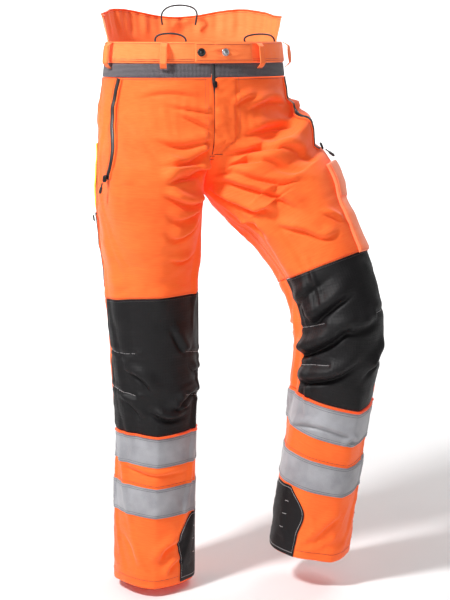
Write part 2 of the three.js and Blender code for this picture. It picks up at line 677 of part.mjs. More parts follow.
Object.keys(LEGS).forEach((side) => {
  const start = side === 'left' ? VENT_LEFT : VENT_RIGHT;
  addSheet(`vent_zip_${side}`, {
    cols: 1,
    rows: 8,
    at: stripOn(side, start, ZIP_WIDTH),
    outer: ZIP_LIFT + ZIP_THICKNESS,
    inner: ZIP_LIFT,
  }, BLACK);
  const arc = zipArc(side, start, [0.06, 0.5, 0.94]);
  slider(`vent_slider_${side}`, arc.start, arc.along, awayFromBody(side, start.top, arc.along), 11, 8, 3);
});

// ---- Knees, lower legs, tapes, ankle patches and cut pads ----
Object.keys(LEGS).forEach((side) => {
  const kneeBottom = KNEE_PANEL_TOP + KNEE_PANEL_LENGTH;
  const kneeV = (u, t) => mix(KNEE_PANEL_TOP + SEAM_GAP / 2, kneeBottom + dip(u) - SEAM_GAP, t);
  const kneeSheet = (name, from, to, color) => addSheet(name, {
    cols: 8,
    rows: 9,
    at: (s, t, lift) => {
      const u = mix(from, to, s);
      return lifted(side, u, kneeV(u, t), lift);
    },
    outer: 0,
    inner: -SHELL,
  }, color);
  const [inner, outer] = KNEE_PANEL_EDGES;
  kneeSheet(`knee_panel_${side}`, inner + seamShare, outer - seamShare, BLACK);
  kneeSheet(`knee_back_${side}`, outer + seamShare, 1 + inner - seamShare, ORANGE);

  addSheet(`lower_leg_${side}`, {
    cols: 18,
    rows: 6,
    closed: true,
    at: (s, t, lift) => lifted(side, s, mix(kneeBottom + dip(s) + SEAM_GAP, OUTSEAM, t), lift),
    outer: 0,
    inner: -SHELL,
  }, ORANGE);
  const tape = (name, top) => addSheet(name, {
    cols: 18,
    rows: 1,
    closed: true,
    at: (s, t, lift) => lifted(side, s, top + dip(s) + TAPE_WIDTH * t, lift),
    outer: LAYER_GAP + TAPE_THICKNESS,
    inner: LAYER_GAP,
  }, SILVER);
  tape(`reflective_tape_upper_${side}`, TAPE_UPPER);
  tape(`reflective_tape_lower_${side}`, TAPE_LOWER);

  const patchEdge = [[ANKLE_PATCH_TOP, 0.06], [932, 0.13], [985, 0.122], [OUTSEAM, 0.122]];
  const patchFront = (v) => curve(patchEdge, v)[0];
  const patchV = [ANKLE_PATCH_TOP, 900, 911, 923, 937, 965, 995, OUTSEAM - 1];
  addSheet(`ankle_patch_${side}`, {
    cols: 7,
    rows: patchV.length - 1,
    at: (s, t, lift) => {
      const v = patchV[Math.round(t * (patchV.length - 1))];
      return lifted(side, mix(ANKLE_PATCH_BACK, patchFront(v), s), v, lift);
    },
    outer: LAYER_GAP + PATCH_THICKNESS,
    inner: LAYER_GAP,
  }, BLACK);

  const padTop = SHELL + INNER_GAP + POCKET_BAG_THICKNESS + INNER_GAP;
  const padEnd = OUTSEAM - CUT_PAD.hem;
  const padV = [...PANEL_V.slice(3), 540, KNEE_HEIGHT, 668, kneeBottom, 800, 890, padEnd];
  addSheet(`cut_pad_${side}`, {
    cols: CUT_PAD.columns,
    rows: padV.length - 1,
    at: onSide(side, (s) => mix(...CUT_PAD.u, s), (t) => padV[Math.round(t * (padV.length - 1))]),
    outer: -padTop,
    inner: -padTop - CUT_PAD_THICKNESS,
  }, GREY);
});

export default group;
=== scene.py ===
"""High-visibility chainsaw trousers with cut protection, in their worn shape.

Metres for every object. Inside the shape functions, lengths on the cloth are millimetres:
u runs round a leg from the front seam or inseam (0), over the outside (0.5), to the back (1),
and v is the distance down from the waistband's top edge.
"""
import math

import bmesh
import bpy
import numpy as np
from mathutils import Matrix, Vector


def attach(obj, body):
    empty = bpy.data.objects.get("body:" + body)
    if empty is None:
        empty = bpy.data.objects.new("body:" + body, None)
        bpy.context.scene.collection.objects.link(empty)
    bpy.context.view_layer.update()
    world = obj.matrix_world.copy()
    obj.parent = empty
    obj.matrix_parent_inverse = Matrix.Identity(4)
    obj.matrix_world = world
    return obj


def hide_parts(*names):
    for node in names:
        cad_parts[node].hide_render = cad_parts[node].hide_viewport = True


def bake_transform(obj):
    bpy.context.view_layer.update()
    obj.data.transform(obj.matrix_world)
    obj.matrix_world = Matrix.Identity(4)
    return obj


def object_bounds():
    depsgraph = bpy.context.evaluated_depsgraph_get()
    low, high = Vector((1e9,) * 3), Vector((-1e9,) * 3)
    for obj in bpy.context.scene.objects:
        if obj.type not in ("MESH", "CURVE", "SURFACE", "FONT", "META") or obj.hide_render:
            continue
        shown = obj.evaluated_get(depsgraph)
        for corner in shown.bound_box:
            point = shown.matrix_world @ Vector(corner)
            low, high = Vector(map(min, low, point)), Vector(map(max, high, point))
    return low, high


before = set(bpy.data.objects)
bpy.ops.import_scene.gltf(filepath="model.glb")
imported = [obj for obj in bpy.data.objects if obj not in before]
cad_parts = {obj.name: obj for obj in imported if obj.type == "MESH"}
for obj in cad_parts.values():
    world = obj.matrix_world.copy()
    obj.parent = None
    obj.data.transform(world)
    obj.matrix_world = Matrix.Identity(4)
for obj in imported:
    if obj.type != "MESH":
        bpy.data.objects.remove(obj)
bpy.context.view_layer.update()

COLLECTION = bpy.context.scene.collection


def link_aimed(obj, direction):
    obj.rotation_euler = direction.to_track_quat("-Z", "Y").to_euler()
    COLLECTION.objects.link(obj)


# ---- Camera ----
VIEW_AZIMUTH = math.radians(-18)
VIEW_DISTANCE = 2.8
VIEW_HEIGHT = 0.01
VIEW_PITCH = math.radians(10.15)
VIEW_PAN = math.radians(1.17)


def make_camera():
    data = bpy.data.cameras.new("camera")
    data.lens = 88.44
    data.sensor_width = 36
    data.clip_end = 60
    obj = bpy.data.objects.new("camera", data)
    obj.location = (math.sin(VIEW_AZIMUTH) * VIEW_DISTANCE, -math.cos(VIEW_AZIMUTH) * VIEW_DISTANCE,
                    VIEW_HEIGHT)
    heading = -VIEW_AZIMUTH + VIEW_PAN
    level = math.cos(VIEW_PITCH)
    link_aimed(obj, Vector((math.sin(heading) * level, math.cos(heading) * level, -math.sin(VIEW_PITCH))))
    bpy.context.scene.camera = obj


make_camera()
bpy.context.scene.view_settings.view_transform = "Standard"

# ---- The body surface, as the CAD part has it ----
WAISTBAND_HEIGHT = 38
STRETCH_BAND_HEIGHT = 26
PANEL_TOP = WAISTBAND_HEIGHT + STRETCH_BAND_HEIGHT
RISE = 276
KNEE_HEIGHT = 606
OUTSEAM = 1026
HIP = [[-60, 161, 110, 106], [0, 168, 114, 110], [76, 177, 119, 122], [156, 188, 122, 136],
       [226, 194, 122, 142], [RISE, 196, 120, 134]]
SHIN_GIRTH = [[KNEE_HEIGHT, 82, 86, 85], [720, 76, 80, 83], [830, 77, 80, 80], [OUTSEAM, 77, 79, 80]]
CROTCH_Y = -40
HIP_BLEND_TOP, HIP_BLEND_END, CROTCH_BLEND = 95, 60, 90
LEGS = {
    "right": {
        "sign": -1, "spread": 0,
        "girth": [[0, 88, 90, 90], [156, 94, 100, 105], [RISE, 100, 106, 116], [406, 90, 102, 104],
                  [506, 86, 92, 94]] + SHIN_GIRTH,
        "centres": [[406, -92, -10, -402], [506, -88, -10, -501], [KNEE_HEIGHT, -85, -12, -601],
                    [728, -85, -16, -723], [832, -90, -22, -826], [OUTSEAM, -100, -34, -1019]],
        "turn": [[0, 0], [RISE, 6], [KNEE_HEIGHT, 18], [OUTSEAM, 20]],
    },
    "left": {
        "sign": 1, "spread": 22,
        "girth": [[0, 92, 90, 90], [156, 102, 100, 105], [RISE, 118, 104, 114], [340, 112, 104, 110],
                  [406, 94, 104, 104], [506, 84, 94, 94]] + SHIN_GIRTH,
        "centres": [[340, 154, -66, -280], [406, 182, -90, -336], [496, 216, -122, -414],
                    [KNEE_HEIGHT, 238, -152, -520], [728, 228, -146, -656], [832, 214, -132, -769],
                    [OUTSEAM, 196, -108, -968]],
        "turn": [[0, 0], [RISE, 6], [KNEE_HEIGHT, 8], [OUTSEAM, 2]],
    },
}
SIDES = ("right", "left")


def smooth(x):
    x = np.clip(x, 0, 1)
    return x * x * (3 - 2 * x)


def mix(a, b, t):
    return a + (b - a) * t


def unit(vectors):
    return vectors / np.maximum(np.linalg.norm(vectors, axis=-1, keepdims=True), 1e-9)


def rows_at(rows, x):
    """A smooth curve through rows of [x, values...], straight on past both ends."""
    table = np.asarray(rows, float)
    knots, values = table[:, 0], table[:, 1:]
    span = np.diff(knots)
    slope = np.diff(values, axis=0) / span[:, None]
    tangent = np.zeros_like(values)
    tangent[1:-1] = ((slope[:-1] * span[1:, None] + slope[1:] * span[:-1, None])
                     / (span[1:] + span[:-1])[:, None])
    tangent[0], tangent[-1] = slope[0], slope[-1]
    x = np.asarray(x, float)
    inside = np.clip(x, knots[0], knots[-1])
    i = np.clip(np.searchsorted(knots, inside, side="right") - 1, 0, len(knots) - 2)
    t = ((inside - knots[i]) / span[i])[..., None]
    h = span[i][..., None]
    out = ((2 * t**3 - 3 * t**2 + 1) * values[i] + (t**3 - 2 * t**2 + t) * h * tangent[i]
           + (3 * t**2 - 2 * t**3) * values[i + 1] + (t**3 - t**2) * h * tangent[i + 1])
    end = np.where((x < knots[0])[..., None], tangent[0], tangent[-1])
    return out + (x - inside)[..., None] * end


def base(side, u, v):
    """Millimetre points of the bare surface at arrays u, v."""
    leg = LEGS[side]
    sign = leg["sign"]
    u, v = np.broadcast_arrays(np.asarray(u, float), np.asarray(v, float))
    girth = rows_at(leg["girth"], v)
    spread = math.radians(leg["spread"]) * smooth(v / RISE)
    zero = np.zeros_like(v)
    out_up = np.stack([sign * np.cos(spread), zero, np.sin(spread)], -1)
    centre_up = np.stack([zero, zero + CROTCH_Y, -v], -1) + girth[..., :1] * out_up
    full = math.radians(leg["spread"])
    crotch_out = np.array([sign * math.cos(full), 0, math.sin(full)])
    hip_centre = np.array([0, CROTCH_Y, -RISE]) + rows_at(leg["girth"], RISE)[0] * crotch_out
    knots = [[RISE, *hip_centre]] + leg["centres"]
    centre_down = rows_at(knots, v)
    along = unit(rows_at(knots, v + 1) - rows_at(knots, v - 1))
    yaw = np.radians(rows_at(leg["turn"], v)[..., 0]) * sign
    front = np.stack([np.sin(yaw), -np.cos(yaw), zero], -1)
    front = unit(front - (front * along).sum(-1, keepdims=True) * along)
    out_down = np.cross(front, along) * sign
    w = smooth((v - RISE) / CROTCH_BLEND)[..., None]
    low = (v >= RISE)[..., None]
    forward_up = np.array([0, -1.0, 0])
    out = np.where(low, unit(mix(crotch_out, out_down, w)), out_up)
    forward = np.where(low, unit(mix(forward_up, front, w)), forward_up)
    centre = np.where(low, centre_down, centre_up)
    turn = 2 * np.pi * u
    depth = np.where(np.sin(turn) > 0, girth[..., 1], girth[..., 2])
    on_leg = (centre - (girth[..., 0] * np.cos(turn))[..., None] * out
              + (depth * np.sin(turn))[..., None] * forward)
    hip = rows_at(HIP, v)
    half = np.pi * u
    hip_depth = np.where(np.cos(half) > 0, hip[..., 1], hip[..., 2])
    on_hip = np.stack([sign * hip[..., 0] * np.sin(half), -hip_depth * np.cos(half), -v], -1)
    outer = np.sin(half) ** 2
    start = HIP_BLEND_TOP - 30 * outer
    end = RISE - HIP_BLEND_END * outer
    reach = np.clip((v - start) / (end - start), 0, 1) ** (2.3 - 0.9 * outer)
    blend = (np.sin(0.5 * np.pi * reach) ** 2)[..., None]
    return np.where(low, on_leg, mix(on_hip, on_leg, blend))


def normal(side, u, v):
    du, dv = 0.004, 2.0
    sign = LEGS[side]["sign"]
    high = v < RISE
    v0 = np.where(~high & (v - dv < RISE), v, v - dv)
    v1 = np.where(high & (v + dv >= RISE), v, v + dv)
    u0 = np.where(high, np.clip(u - du, 0, 1), u - du)
    u1 = np.where(high, np.clip(u + du, 0, 1), u + du)
    along_u = base(side, u1, v) - base(side, u0, v)
    along_v = base(side, u, v1) - base(side, u, v0)
    n = unit(np.cross(along_v, along_u) * sign)
    wrapped = np.mod(u, 1.0)
    seam = 1 - smooth(np.minimum(wrapped, 1 - wrapped) / 0.02)
    n[..., 0] *= np.where(v <= RISE, 1 - seam, 1)
    down = (seam * smooth(1 - np.abs(v - RISE) / 45))[..., None]
    return unit(mix(n, np.array([0, 0, -1.0]), down))


# ---- Folds ----
# Folds that start above FOLD_GAIN_EDGE are raised by the hip gain, the others by the leg gain.
FOLD_GAIN_HIP, FOLD_GAIN_LEG, FOLD_GAIN_EDGE = 2.8, 2.5, 500


def lattice(x, y, seed):
    """Smooth value noise in -1..1, fixed by its seed."""
    xi, yi = np.floor(x), np.floor(y)
    xf, yf = x - xi, y - yi
    xf = xf**3 * (xf * (xf * 6 - 15) + 10)
    yf = yf**3 * (yf * (yf * 6 - 15) + 10)

    def corner(i, j):
        value = np.sin(i * 127.1 + j * 311.7 + seed * 74.7) * 43758.5453
        return 2 * (value - np.floor(value)) - 1

    top = mix(corner(xi, yi), corner(xi + 1, yi), xf)
    bottom = mix(corner(xi, yi + 1), corner(xi + 1, yi + 1), xf)
    return mix(top, bottom, yf)


AROUND = 500.0
# A fold: points (u, v) along its valley, half width and height in mm, and the shares of its
# length over which it fades in and out.
FOLDS = {
    "right": [
        ([(0.135, 126), (0.075, 140), (0.012, 158)], 9, 2.6, 0.5, 0.1),
        ([(0.27, 214), (0.19, 221), (0.10, 214), (0.01, 192)], 11, 5.0, 0.4, 0.05),
        ([(0.26, 254), (0.20, 240), (0.10, 236), (0.0, 226)], 12, 6.5, 0.35, 0.05),
        ([(0.27, 266), (0.21, 284), (0.15, 292), (0.06, 288)], 11, 5.5, 0.3, 0.2),
        ([(0.26, 300), (0.20, 312), (0.13, 308), (0.05, 300)], 10, 4.0, 0.3, 0.3),
        ([(0.25, 322), (0.20, 337), (0.15, 334), (0.08, 318)], 10, 4.5, 0.3, 0.3),
        ([(0.24, 172), (0.13, 186), (0.012, 177)], 12, 3.2, 0.5, 0.05),
        ([(0.19, 112), (0.09, 120), (0.012, 127)], 8, 2.0, 0.5, 0.1),
        ([(0.30, 104), (0.16, 91), (0.03, 100)], 10, 1.5, 0.5, 0.3),
        ([(0.22, 372), (0.15, 392), (0.08, 380)], 12, 2.6, 0.4, 0.4),
        ([(0.40, 180), (0.39, 250), (0.40, 330)], 12, 1.6, 0.5, 0.5),
        ([(0.20, 522), (0.145, 570), (0.12, 590)], 12, 3.0, 0.4, 0.4),
        ([(0.39, 604), (0.30, 630), (0.25, 664)], 13, 4.0, 0.4, 0.4),
        ([(0.20, 700), (0.10, 668), (0.0, 664)], 12, 4.0, 0.4, 0.3),
        ([(0.29, 686), (0.20, 708), (0.09, 702)], 11, 5.0, 0.4, 0.4),
        ([(0.20, 682), (0.14, 690), (0.07, 686)], 8, 3.0, 0.4, 0.4),
        ([(0.12, 600), (0.06, 622), (0.0, 620)], 10, 3.0, 0.4, 0.3),
        ([(0.40, 655), (0.33, 690), (0.30, 712)], 11, 2.5, 0.4, 0.4),
        ([(0.44, 800), (0.30, 812), (0.24, 816), (0.06, 810)], 8, 2.4, 0.3, 0.3),
        ([(0.222, 992), (0.19, 962), (0.09, 944)], 12, 4.0, 0.4, 0.4),
        ([(0.19, 1014), (0.16, 994), (0.10, 982)], 9, 2.6, 0.4, 0.4),
        ([(0.40, 930), (0.34, 960), (0.30, 1000)], 12, 1.8, 0.4, 0.4),
    ],
    "left": [
        ([(0.03, 206), (0.11, 200), (0.19, 206), (0.33, 262), (0.35, 330)], 12, 4.0, 0.32, 0.4),
        ([(0.08, 172), (0.2, 158), (0.3, 164), (0.40, 196)], 14, 4.0, 0.25, 0.4),
        ([(0.06, 118), (0.11, 103), (0.17, 95)], 8, 3.0, 0.3, 0.5),
        ([(0.10, 126), (0.22, 108), (0.36, 116)], 11, 3.6, 0.3, 0.4),
        ([(0.03, 238), (0.12, 246), (0.20, 280), (0.24, 325), (0.28, 372)], 12, 4.5, 0.32, 0.4),
        ([(0.03, 252), (0.11, 264), (0.17, 300), (0.17, 364), (0.20, 412)], 12, 5.0, 0.32, 0.3),
        ([(0.02, 264), (0.08, 300), (0.11, 346), (0.13, 384)], 11, 4.5, 0.32, 0.4),
        ([(0.08, 388), (0.16, 428), (0.21, 460), (0.29, 462)], 10, 4.0, 0.3, 0.3),
        ([(0.24, 414), (0.28, 434), (0.31, 452)], 7, 3.0, 0.4, 0.3),
        ([(0.06, 226), (0.17, 228), (0.25, 262), (0.31, 330)], 12, 3.5, 0.2, 0.4),
        ([(0.02, 330), (0.05, 372), (0.06, 420)], 9, 2.5, 0.3, 0.4),
        ([(0.04, 604), (0.15, 575), (0.26, 558)], 14, 5.5, 0.2, 0.5),
        ([(-0.02, 668), (0.10, 638), (0.25, 592)], 16, 8.0, 0.15, 0.5),
        ([(-0.02, 714), (0.15, 688), (0.28, 648)], 13, 6.5, 0.15, 0.5),
        ([(0.13, 618), (0.24, 614), (0.33, 603)], 13, 4.5, 0.4, 0.4),
        ([(0.0, 560), (0.08, 540), (0.20, 520)], 14, 3.0, 0.2, 0.5),
        ([(0.26, 690), (0.34, 660), (0.42, 640)], 12, 4.0, 0.4, 0.3),
        ([(-0.02, 794), (0.12, 776), (0.32, 788)], 9, 2.5, 0.3, 0.3),
        ([(0.24, 806), (0.27, 790), (0.33, 800)], 7, 2.4, 0.4, 0.4),
        ([(0.30, 930), (0.24, 960), (0.18, 1000)], 13, 2.2, 0.4, 0.4),
    ],
}
BACK_FOLDS = [
    ([(0.58, 262), (0.75, 270), (0.96, 250)], 12, 5.0, 0.3, 0.1),
    ([(0.60, 300), (0.78, 312), (0.97, 284)], 12, 4.5, 0.3, 0.2),
    ([(0.62, 344), (0.78, 352), (0.94, 330)], 12, 3.0, 0.3, 0.3),
    ([(0.55, 560), (0.72, 572), (0.92, 560)], 12, 4.0, 0.3, 0.3),
    ([(0.54, 600), (0.75, 612), (0.95, 598)], 12, 6.0, 0.3, 0.3),
    ([(0.57, 642), (0.74, 634), (0.93, 646)], 11, 5.0, 0.3, 0.3),
    ([(0.60, 690), (0.75, 680), (0.9, 694)], 12, 2.5, 0.3, 0.3),
    ([(0.62, 150), (0.75, 170), (0.93, 176)], 16, 2.5, 0.4, 0.3),
    ([(0.56, 960), (0.70, 980), (0.86, 968)], 12, 2.5, 0.4, 0.4),
]
CREASE = {"right": 0.235, "left": 0.272}


def spline(points, steps=14):
    """A smooth line through given points."""
    p = np.asarray(points, float)
    p = np.vstack([2 * p[0] - p[1], p, 2 * p[-1] - p[-2]])
    out = []
    for i in range(1, len(p) - 2):
        for t in np.linspace(0, 1, steps, endpoint=False):
            out.append(0.5 * ((2 * p[i]) + (p[i + 1] - p[i - 1]) * t
                              + (2 * p[i - 1] - 5 * p[i] + 4 * p[i + 1] - p[i + 2]) * t**2
                              + (3 * p[i] - p[i - 1] - 3 * p[i + 1] + p[i + 2]) * t**3))
    out.append(p[-2])
    return np.array(out)


def fold_height(x, y, fold):
    points, width, height, fade_in, fade_out = fold
    line = spline(points, 5) * np.array([AROUND, 1.0])
    lo, hi = line.min(0) - 3.2 * width, line.max(0) + 3.2 * width
    inside = (x > lo[0]) & (x < hi[0]) & (y > lo[1]) & (y < hi[1])
    out = np.zeros_like(x)
    if not inside.any():
        return out
    px, py = x[inside], y[inside]
    best = np.full(px.shape, 1e9)
    signed = np.zeros(px.shape)
    share = np.zeros(px.shape)
    steps = len(line) - 1
    for i in range(steps):
        a, b = line[i], line[i + 1]
        d = b - a
        length = math.hypot(*d)
        t = np.clip(((px - a[0]) * d[0] + (py - a[1]) * d[1]) / length**2, 0, 1)
        qx, qy = px - (a[0] + t * d[0]), py - (a[1] + t * d[1])
        dist = np.hypot(qx, qy)
        near = dist < best
        up = np.array([d[1], -d[0]]) / length
        up = -up if up[1] > 0 else up
        best = np.where(near, dist, best)
        signed = np.where(near, np.copysign(dist, qx * up[0] + qy * up[1]), signed)
        share = np.where(near, (i + t) / steps, share)
    height = height * (FOLD_GAIN_HIP if points[0][1] < FOLD_GAIN_EDGE else FOLD_GAIN_LEG)
    envelope = smooth(share / max(fade_in, 0.01)) * smooth((1 - share) / max(fade_out, 0.01))
    ridge = np.exp(-(((signed - 0.85 * width) / (0.95 * width)) ** 2))
    valley = np.exp(-((signed + 0.15 * width) / (0.36 * width)) ** 2)
    out[inside] = height * envelope * (0.8 * ridge - 0.8 * valley)
    return out


def ring_quads(rows, sides):
    """Faces between closed rings of points, numbered ring by ring."""
    j, i = np.meshgrid(np.arange(rows - 1), np.arange(sides), indexing="ij")
    k = (i + 1) % sides
    return np.stack([j * sides + i, j * sides + k, (j + 1) * sides + k, (j + 1) * sides + i],
                    -1).reshape(-1, 4)


# ---- Slack in the cloth, from a cloth simulation ----
DRAPE_COLUMNS, DRAPE_ROWS = 112, 128
DRAPE_TOP, DRAPE_BOTTOM = 40.0, 1022.0
DRAPE_FRAMES = 20
DRAPE_CAP = (-3.0, 6.5)
DRAPES = {}
DRAPE_SETTINGS = {
    "quality": 6, "mass": 0.4, "tension_stiffness": 30, "compression_stiffness": 25, "shear_stiffness": 8,
    "bending_stiffness": 0.7, "air_damping": 2, "vertex_group_mass": "held", "pin_stiffness": 1,
    "vertex_group_shrink": "slack", "shrink_min": 0.0, "shrink_max": -0.11, "use_pressure": True,
    "uniform_pressure_force": 0.6,
}


def drape_slack(u, v):
    """Share of the extra cloth: most below the crotch and round the knee, least at the hem."""
    thigh = np.exp(-((v - 300) / 110) ** 2)
    knee = np.exp(-((v - 625) / 75) ** 2)
    return np.clip(0.25 + 0.55 * thigh + 0.75 * knee, 0, 1)


def drape(side):
    """A slack tube of cloth on the leg, held at its seams, simulated and read back as a stand-off."""
    us = np.arange(DRAPE_COLUMNS) / DRAPE_COLUMNS
    vs = np.linspace(DRAPE_TOP, DRAPE_BOTTOM, DRAPE_ROWS)
    u, v = np.meshgrid(us, vs)
    start, out = base(side, u, v) * 0.001, normal(side, u, v)
    uneven = start + out * 0.0004 * np.sin(u * 61 + v * 0.19)[..., None]
    mesh = bpy.data.meshes.new("drape_" + side)
    mesh.from_pydata(uneven.reshape(-1, 3).tolist(), [], ring_quads(DRAPE_ROWS, DRAPE_COLUMNS).tolist())
    obj = bpy.data.objects.new("drape_" + side, mesh)
    COLLECTION.objects.link(obj)
    seam = np.minimum(np.abs(u - 0.5), np.minimum(u, 1 - u))
    held = np.maximum(1 - smooth((seam - 0.006) / 0.02), 1 - smooth((v - 70) / 40))
    held = np.maximum(held, smooth((v - 1000) / 16))
    for name, weights in (("held", held), ("slack", drape_slack(u, v))):
        group = obj.vertex_groups.new(name=name)
        for i, w in enumerate(weights.ravel()):
            group.add([i], float(w), "REPLACE")
    cloth_mod = obj.modifiers.new("cloth", "CLOTH")
    for key, value in DRAPE_SETTINGS.items():
        setattr(cloth_mod.settings, key, value)
    cloth_mod.settings.effector_weights.gravity = 0.25
    cloth_mod.collision_settings.use_collision = False
    cloth_mod.point_cache.frame_start = 1
    cloth_mod.point_cache.frame_end = DRAPE_FRAMES
    for frame_number in range(1, DRAPE_FRAMES + 1):
        bpy.context.scene.frame_set(frame_number)
    done = obj.evaluated_get(bpy.context.evaluated_depsgraph_get())
    flat = np.empty(u.size * 3)
    done.data.vertices.foreach_get("co", flat)
    moved = flat.reshape(u.shape + (3,)) - start
    stand = np.einsum("ijk,ijk->ij", moved, out) * 1000
    bpy.context.scene.frame_set(1)
    bpy.data.objects.remove(obj)
    bpy.data.meshes.remove(mesh)
    return np.clip(stand, *DRAPE_CAP)


def drape_at(side, u, v):
    """The simulated stand-off between the grid's points."""
    if side not in DRAPES:
        return 0.0
    grid = DRAPES[side]
    x = np.mod(u, 1.0) * DRAPE_COLUMNS
    y = np.clip((v - DRAPE_TOP) / (DRAPE_BOTTOM - DRAPE_TOP), 0, 1) * (DRAPE_ROWS - 1)
    i, j = np.floor(x).astype(int) % DRAPE_COLUMNS, np.minimum(np.floor(y).astype(int), DRAPE_ROWS - 2)
    fx, fy = smooth(x - np.floor(x)), smooth(y - j)
    k = (i + 1) % DRAPE_COLUMNS
    return mix(mix(grid[j, i], grid[j, k], fx), mix(grid[j + 1, i], grid[j + 1, k], fx), fy)


def relief(side, u, v):
    """How far the cloth stands off the bare surface, in millimetres."""
    wrapped = np.mod(u, 1.0)
    x, y = wrapped * AROUND, v
    out = np.zeros(np.broadcast(u, v).shape)
    for fold in FOLDS[side] + BACK_FOLDS:
        for shift in (0, -AROUND, AROUND):
            out += fold_height(x + shift, y, fold)
    near_zip = np.exp(-((wrapped - 0.4) / 0.045) ** 2) * (1 - smooth((v - 290) / 40))
    out *= 1 - 0.8 * near_zip
    # the pressed crease down the front and back of each lower leg, and the right thigh's front ridge
    ridges = [(CREASE[side], 6.5, 690, 60, 1), (CREASE[side] + 0.5, 5, 740, 60, 1)]
    if side == "right":
        ridges.append((CREASE[side] + 0.002, 3.0, 250, 90, 1 - smooth((v - 470) / 60)))
    for at, height, top, fade, share in ridges:
        d = (np.mod(wrapped - at + 0.5, 1.0) - 0.5) * AROUND
        on = smooth((v - top) / fade) * share
        out += height * on * (np.exp(-np.sqrt(d**2 + 9) / 22) - 0.25 * np.exp(-((np.abs(d) - 45) / 22) ** 2))
    if side == "left":
        # the pocket stands out over a sharp bend at the hip
        shelf = smooth((v - 104) / 20) * (1 - smooth((v - 130) / 130))
        out += 17 * shelf * np.exp(-((wrapped - 0.45) / 0.085) ** 2)
    else:
        out += (5 * smooth((v - 90) / 40) * (1 - smooth((v - 190) / 90))
                * np.exp(-((wrapped - 0.47) / 0.1) ** 2))
    calm = smooth((v - 66) / 40)
    rumple = (lattice(x / 60, y / 34, 3) * 1.5 + lattice(x / 27, y / 17, 7) * 0.8
              + lattice(x / 12, y / 9, 11) * 0.28)
    edge_cross = smooth(wrapped / 0.05) * smooth((1 - wrapped) / 0.05)
    out += (rumple * mix(0.35, 1.0, calm) + drape_at(side, wrapped, v) * (1 - 0.85 * near_zip)) * edge_cross
    hem = smooth((v - 900) / 126)
    out += hem * (2.6 * np.sin(2 * np.pi * (3 * wrapped + (0.1 if side == "left" else 0.42)))
                  + 1.2 * np.sin(2 * np.pi * 7 * wrapped + 1))
    high = v < RISE + 30
    seam = smooth(np.minimum(wrapped, 1 - wrapped) / 0.022)
    out = np.where(high, out * mix(seam, 1.0, smooth((v - RISE) / 30)), out)
    return out * smooth((v - 40) / 30)


DRAPES = {side: drape(side) for side in SIDES}


def skin(side, u, v, lift):
    """Metre points on the cloth: lift millimetres outside the surface and its folds."""
    u, v, lift = np.broadcast_arrays(np.asarray(u, float), np.asarray(v, float), np.asarray(lift, float))
    n = normal(side, u, v)
    p = base(side, u, v) + n * (relief(side, u, v) + lift)[..., None]
    sign = LEGS[side]["sign"]
    wrapped = np.mod(u, 1.0)
    held = (v < RISE + 40) & (np.minimum(wrapped, 1 - wrapped) < 0.06)
    p[..., 0] = np.where(held, sign * np.maximum(0.3, sign * p[..., 0]), p[..., 0])
    return p * 0.001


def waist(a, v, lift):
    """Points on the waist by signed share of half the girth: 0 front, +0.5 left side, 1 back."""
    a, v, lift = np.broadcast_arrays(np.asarray(a, float), np.asarray(v, float), np.asarray(lift, float))
    a = np.where(a > 1, a - 2, a)
    u = np.abs(a)
    right_side = (a < 0)[..., None]
    creased = [skin(side, u, v, lift) for side in SIDES]
    bare = [base(side, u, v) * 0.001 + normal(side, u, v) * lift[..., None] * 0.001 for side in SIDES]
    near = ((u < 0.002) | (u > 0.998))[..., None]
    return np.where(near, np.where(right_side, *bare), np.where(right_side, *creased))


def waist_out(a, v=19.0):
    a = a - 2 if a > 1 else a
    return normal("right" if a < 0 else "left", np.array(abs(a)), np.array(float(v)))


# ---- Meshes ----
SHEETS = []


def add_mesh(name, verts, faces, material, uvs=None):
    """faces: arrays of three or four corners. uvs: one pair for each corner."""
    faces = [np.asarray(f, np.int32) for f in faces if len(f)]
    sizes = np.concatenate([np.full(len(f), f.shape[1]) for f in faces])
    loops = np.concatenate([f.ravel() for f in faces])
    mesh = bpy.data.meshes.new(name)
    mesh.vertices.add(len(verts))
    mesh.vertices.foreach_set("co", np.asarray(verts, np.float32).ravel())
    mesh.loops.add(len(loops))
    mesh.loops.foreach_set("vertex_index", loops)
    mesh.polygons.add(len(sizes))
    mesh.polygons.foreach_set("loop_start", np.concatenate([[0], np.cumsum(sizes)[:-1]]).astype(np.int32))
    mesh.polygons.foreach_set("use_smooth", np.ones(len(sizes), bool))
    mesh.update(calc_edges=True)
    layer = mesh.uv_layers.new(name="UVMap")
    if uvs is not None:
        layer.data.foreach_set("uv", np.asarray(uvs, np.float32).ravel())
    mesh.validate()
    mesh.materials.append(material)
    obj = bpy.data.objects.new(name, mesh)
    COLLECTION.objects.link(obj)
    return obj


def spaced(length, cell, roll=True):
    """Shares 0..1 along a length in mm, closer together at both ends."""
    count = max(4, int(round(length / cell)))
    inner = np.linspace(0, 1, count + 1)
    if not roll:
        return inner
    ends = np.array([0.5, 1.5, 3.0]) / length
    keep = inner[(inner > ends[-1] * 1.3) & (inner < 1 - ends[-1] * 1.3)]
    return np.concatenate([[0], ends, keep, 1 - ends[::-1], [1]])


def corner_uv(x, y, rows, cols):
    """UV pairs for the four corners of each cell of a grid, cells row by row."""
    j, i = np.meshgrid(np.arange(rows), np.arange(cols), indexing="ij")
    corners = [np.stack([x[a], y[b]], -1) for a, b in ((i, j), (i + 1, j), (i + 1, j + 1), (i, j + 1))]
    return np.stack(corners, -2).reshape(-1, 4, 2)


